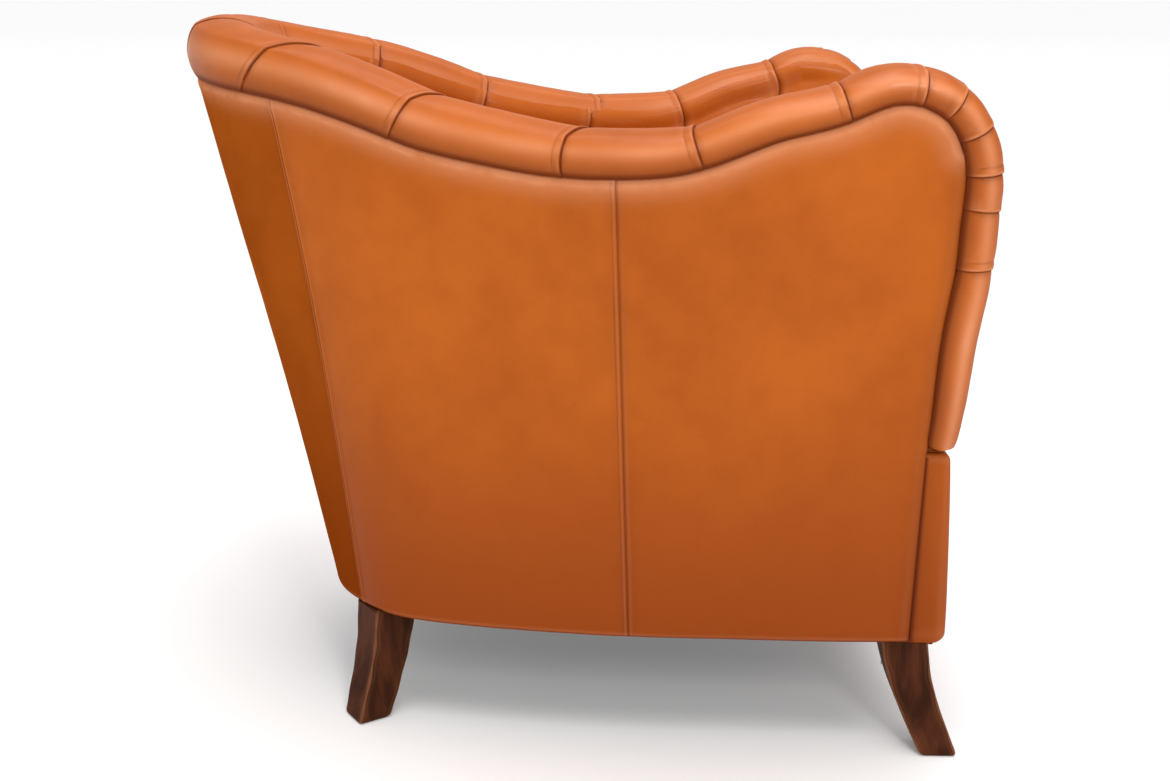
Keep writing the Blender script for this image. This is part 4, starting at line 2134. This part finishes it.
class Field:
    """A Geometry Nodes tree that sets copies of a small form on points or along lines."""

    def __init__(self, name: str, sizes: dict) -> None:
        """Starts the tree.

        Args:
            name: Name of the tree.
            sizes: Socket kinds of its inputs by name, besides its geometry, form and material.
        """
        self.tree = bpy.data.node_groups.new(name, "GeometryNodeTree")
        face = self.tree.interface
        face.new_socket(name="Geometry", in_out="INPUT", socket_type="NodeSocketGeometry")
        face.new_socket(name="Geometry", in_out="OUTPUT", socket_type="NodeSocketGeometry")
        kinds = {"Form": "NodeSocketObject", **sizes, "Material": "NodeSocketMaterial"}
        self.inputs = {key: face.new_socket(name=key, in_out="INPUT", socket_type=kind).identifier
                       for key, kind in kinds.items()}
        self.start = self.tree.nodes.new("NodeGroupInput").outputs

    def add(self, kind: str, settings: dict, inputs: dict) -> bpy.types.NodeSocket:
        """Adds a node and gives its first output."""
        return next(iter(add_node(self.tree, kind, settings, inputs).outputs), None)

    def copies(self, points: bpy.types.NodeSocket, way: bpy.types.NodeSocket, axis: str) -> None:
        """Sets copies of the form on points, gives them their material and ends the tree.

        Args:
            points: The points.
            way: Directions at the points.
            axis: Axis of the form that turns into the direction.
        """
        info = add_node(self.tree, "GeometryNodeObjectInfo", {}, {"Object": self.start["Form"]})
        turn = self.add("FunctionNodeAlignRotationToVector", {"axis": axis}, {"Vector": way})
        placed = self.add("GeometryNodeInstanceOnPoints", {}, {
            "Points": points, "Instance": info.outputs["Geometry"], "Rotation": turn,
        })
        real = self.add("GeometryNodeRealizeInstances", {}, {"Geometry": placed})
        dressed = self.add("GeometryNodeSetMaterial", {}, {"Geometry": real, "Material": self.start["Material"]})
        self.add("NodeGroupOutput", {}, {0: dressed})

    def run(self, name: str, seed: bpy.types.Object, values: dict) -> bpy.types.Object:
        """Makes the plain mesh that the tree gives.

        Args:
            name: Name of the piece.
            seed: Object with the points or lines.
            values: Values of the named inputs.

        Returns:
            The piece. The seed and the form are gone.
        """
        modifier = seed.modifiers.new(name, "NODES")
        modifier.node_group = self.tree
        for key, value in values.items():
            modifier[self.inputs[key]] = value
        mesh = finished_mesh(seed)
        seed.modifiers.remove(modifier)
        for used in (seed, values["Form"]):
            bpy.data.objects.remove(used)
        mesh.name = name
        mesh.shade_smooth()
        mesh.set_sharp_from_angle(angle=math.radians(50.0))
        return linked(name, mesh)


def seed_object(name: str, points: Array, edges: list, ways: object = None) -> bpy.types.Object:
    """An object of loose points or lines for a field.

    Args:
        name: Name of the object.
        points: Places.
        edges: Pairs of numbers.
        ways: Directions at the points, or None.

    Returns:
        The object.
    """
    mesh = bpy.data.meshes.new(name)
    mesh.from_pydata(points.tolist(), edges, [])
    if ways is not None:
        stored = mesh.attributes.new("way", "FLOAT_VECTOR", "POINT")
        stored.data.foreach_set("vector", np.asarray(ways, np.float32).reshape(-1))
    return linked(name, mesh)


@dataclass
class TuftingButtons:
    """Leather-covered buttons, one on each seat of the tufting."""

    finishes: Finishes
    radius: float = 0.0092
    height: float = 0.0056
    sink: float = 0.0012
    folds: int = 9

    def form(self) -> bpy.types.Object:
        """One button, domed, with the leather gathered under its rim."""
        around = np.linspace(0.0, 2 * math.pi, 27, endpoint=False)
        profile = [(0.20, 1.0), (0.42, 0.96), (0.62, 0.88), (0.80, 0.72), (0.93, 0.50), (1.0, 0.25), (0.98, 0.05),
                   (0.86, -0.12), (0.60, -0.20)]
        grid = []
        for reach, level in profile:
            size = self.radius * reach * (1 + 0.025 * np.cos(self.folds * around) * (1 - level) * 0.8)
            grid.append(np.stack([size * np.cos(around), size * np.sin(around),
                                  np.full(len(around), self.height * level)], 1))
        levels = np.array(profile)[:, 1:]
        marks = {"crease": 0.8 * np.clip(1 - levels * 1.6, 0, 1), "burnish": 0.6 * bell(levels - 0.72, 0.22),
                 "wrinkle": 0.5}
        return tube("button_form", np.array(grid), marks, self.finishes.button)

    def build(self, inside: TuftedInside) -> None:
        """Makes the buttons on the seats of the tufted inside."""
        spots, ways = inside.button_seats()
        tree = Field("button_field", {})
        way = tree.add("GeometryNodeInputNamedAttribute", {"data_type": "FLOAT_VECTOR"}, {"Name": "way"})
        tree.copies(tree.start["Geometry"], way, "Z")
        form = self.form()
        seed = seed_object("button_seats", spots - ways * self.sink, [], ways)
        piece = tree.run("tufting_button_set", seed, {"Form": form, "Material": self.finishes.button})
        settle(piece, "frame", ("tufting_buttons",))


@dataclass
class Topstitching:
    """Two lines of stitches along each side seam."""

    finishes: Finishes
    pitch: float = 0.0046
    length: float = 0.0034
    radius: float = 0.00042

    def form(self) -> bpy.types.Object:
        """One stitch, a short length of thread that dips in at both ends."""
        around = np.linspace(0.0, 2 * math.pi, 6, endpoint=False)
        grid = []
        for share in (-1.0, -0.6, 0.0, 0.6, 1.0):
            size = self.radius * (1 - 0.45 * share ** 4)
            dip = -self.radius * 1.3 * share ** 4
            grid.append(np.stack([np.full(len(around), share * self.length / 2), size * np.cos(around),
                                  size * np.sin(around) + dip], 1))
        return tube("stitch_form", np.array(grid), {}, self.finishes.thread)

    def build(self, shell: OutsideShell) -> None:
        """Makes the stitches of both side seams."""
        points, edges = [], []
        for line in shell.seam_lines():
            for side in (np.ones(3), FLIP):
                first = len(points)
                points.extend((line * side).tolist())
                edges += [(first + number, first + number + 1) for number in range(len(line) - 1)]
        tree = Field("stitch_field", {"Pitch": "NodeSocketFloat"})
        curve = tree.add("GeometryNodeMeshToCurve", {}, {0: tree.start["Geometry"]})
        even = tree.add("GeometryNodeResampleCurve", {"mode": "LENGTH"}, {
            "Curve": curve, "Length": tree.start["Pitch"],
        })
        tree.copies(even, tree.add("GeometryNodeInputTangent", {}, {}), "X")
        form = self.form()
        seed = seed_object("stitch_lines", np.array(points), edges)
        piece = tree.run("side_seam_topstitching", seed, {
            "Form": form, "Pitch": self.pitch, "Material": self.finishes.thread,
        })
        settle(piece, "frame", ())


# Hidden frame and studio


@dataclass
class InnerWorks:
    """The CAD nodes that keep their own shape: hardwood, springs, clips, bolts and nuts."""

    finishes: Finishes

    def looks(self) -> dict:
        """Material by the start of a node's name."""
        wood = ("front_seat_rail", "front_arm_post", "side_seat_rail", "rear_corner_rail", "rear_seat_rail",
                "back_upright", "arm_top_rail", "back_top_rail", "back_center_slat", "front_corner_blocks",
                "rear_corner_blocks")
        metal = {"sinuous_springs": self.finishes.wire, "spring_clips": self.finishes.zinc,
                 "leg_hanger_bolts": self.finishes.zinc, "leg_tee_nuts": self.finishes.zinc}
        return {**dict.fromkeys(wood, self.finishes.frame_wood), **metal}

    def build(self) -> None:
        """Gives each of these nodes its material."""
        for name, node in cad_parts.items():
            for start, material in self.looks().items():
                if name.startswith(start):
                    for place in node.material_slots:
                        place.link = "OBJECT"
                        place.material = material
                    LOG.info("%s: dressed in %s", name, material.name)


@dataclass
class Studio:
    """Pale floor, soft light and the camera of the photograph."""

    camera_place: tuple = (-1.84, -0.072, 0.824)
    pitch: float = 12.4
    swing: float = 1.39
    lens: float = 44.6
    shift_y: float = -0.05
    chair_middle: tuple = (0.0, 0.0, 0.5)

    def floor(self) -> None:
        """Lays a wide pale floor that rises a little at its far rim."""
        nodes = Nodes("pale_floor")
        tone = nodes.clouds(0.6, 2.0)
        colour = nodes.mix(tone * 0.3, (0.82, 0.82, 0.82), (0.80, 0.80, 0.80))
        material = nodes.surface({
            "Base Color": colour, "Roughness": 0.9, "Specular IOR Level": 0.1,
            "Emission Color": (1.0, 1.0, 1.0), "Emission Strength": 0.15,
        })
        around = np.linspace(0.0, 2 * math.pi, 64, endpoint=False)
        grid = []
        for radius, level in ((0.5, 0.0), (2.0, 0.0), (6.0, 0.0), (20.0, 0.0), (60.0, 0.0), (66.0, 3.6)):
            heights = np.full(len(around), level)
            grid.append(np.stack([radius * np.cos(around), radius * np.sin(around), heights], 1))
        maker = Maker()
        numbers = maker.add_grid(np.array(grid), {}, wrap_columns=True)
        maker.add_cap(numbers[0])
        floor = maker.build("studio_floor", material)
        if floor.data.polygons[0].normal.z < 0:
            floor.data.flip_normals()

    @staticmethod
    def aim(thing: bpy.types.Object, place: tuple, ahead: Vector) -> None:
        """Puts a lamp or camera at a place, facing a direction."""
        thing.location = place
        thing.rotation_euler = ahead.to_track_quat("-Z", "Y").to_euler()

    def lamp(self, name: str, place: tuple, size: tuple, power: float, colour: tuple) -> None:
        """Hangs a soft rectangular light that faces the chair.

        Args:
            name: Name of the light.
            place: Where it hangs.
            size: Its width and height.
            power: Watts.
            colour: Its colour.
        """
        data = bpy.data.lights.new(name, "AREA")
        data.shape = "RECTANGLE"
        data.size, data.size_y = size
        data.energy = power
        data.color = colour
        self.aim(linked(name, data), place, Vector(self.chair_middle) - Vector(place))

    def sky(self, power: float, spread: float) -> None:
        """Lights everything evenly from above.

        Args:
            power: Its irradiance.
            spread: Its angular width in degrees.
        """
        data = bpy.data.lights.new("soft_ceiling", "SUN")
        data.energy = power
        data.angle = math.radians(spread)
        self.aim(linked("soft_ceiling", data), (0.0, 0.0, 0.0), Vector((-0.22, 0.05, -1.0)))

    def camera(self) -> None:
        """Sets the camera where the photograph was taken."""
        data = bpy.data.cameras.new("photo_camera")
        data.sensor_width = 36.0
        data.lens = self.lens
        data.shift_y = self.shift_y
        data.clip_start, data.clip_end = 0.05, 200.0
        pitch, swing = math.radians(self.pitch), math.radians(self.swing)
        ahead = Vector((math.cos(pitch) * math.cos(swing), math.cos(pitch) * math.sin(swing), -math.sin(pitch)))
        camera = linked("photo_camera", data)
        self.aim(camera, self.camera_place, ahead)
        bpy.context.scene.camera = camera

    def build(self) -> None:
        """Sets up the floor, the lights and the camera."""
        self.floor()
        world = bpy.data.worlds.new("studio_white")
        world.use_nodes = True
        background = world.node_tree.nodes["Background"].inputs
        background["Color"].default_value = (1.0, 1.0, 1.0, 1.0)
        background["Strength"].default_value = 0.46
        bpy.context.scene.world = world
        bpy.context.scene.view_settings.view_transform = "Standard"
        self.sky(1.9, 70.0)
        self.lamp("overhead", (-0.7, -0.2, 2.4), (0.9, 1.6), 22.0, (1.0, 0.97, 0.95))
        self.lamp("camera_side", (-2.9, -0.9, 2.0), (0.6, 0.8), 23.0, (1.0, 0.98, 0.96))
        self.camera()


def main() -> None:
    """Builds the chair and its studio, and reports each piece."""
    logging.basicConfig(level=logging.INFO, format="%(name)s %(message)s")
    Studio().build()
    finishes = Finishes()
    RollCover(finishes).build()
    inside = TuftedInside(finishes)
    inside.build()
    TuftingButtons(finishes).build(inside)
    shell = OutsideShell(finishes)
    shell.build()
    Topstitching(finishes).build(shell)
    FrontBorder(finishes).build()
    SeatCushion(finishes).build()
    SeatDeck(finishes).build()
    SabreLegs(finishes).build()
    InnerWorks(finishes).build()


if __name__ == "__main__":
    main()
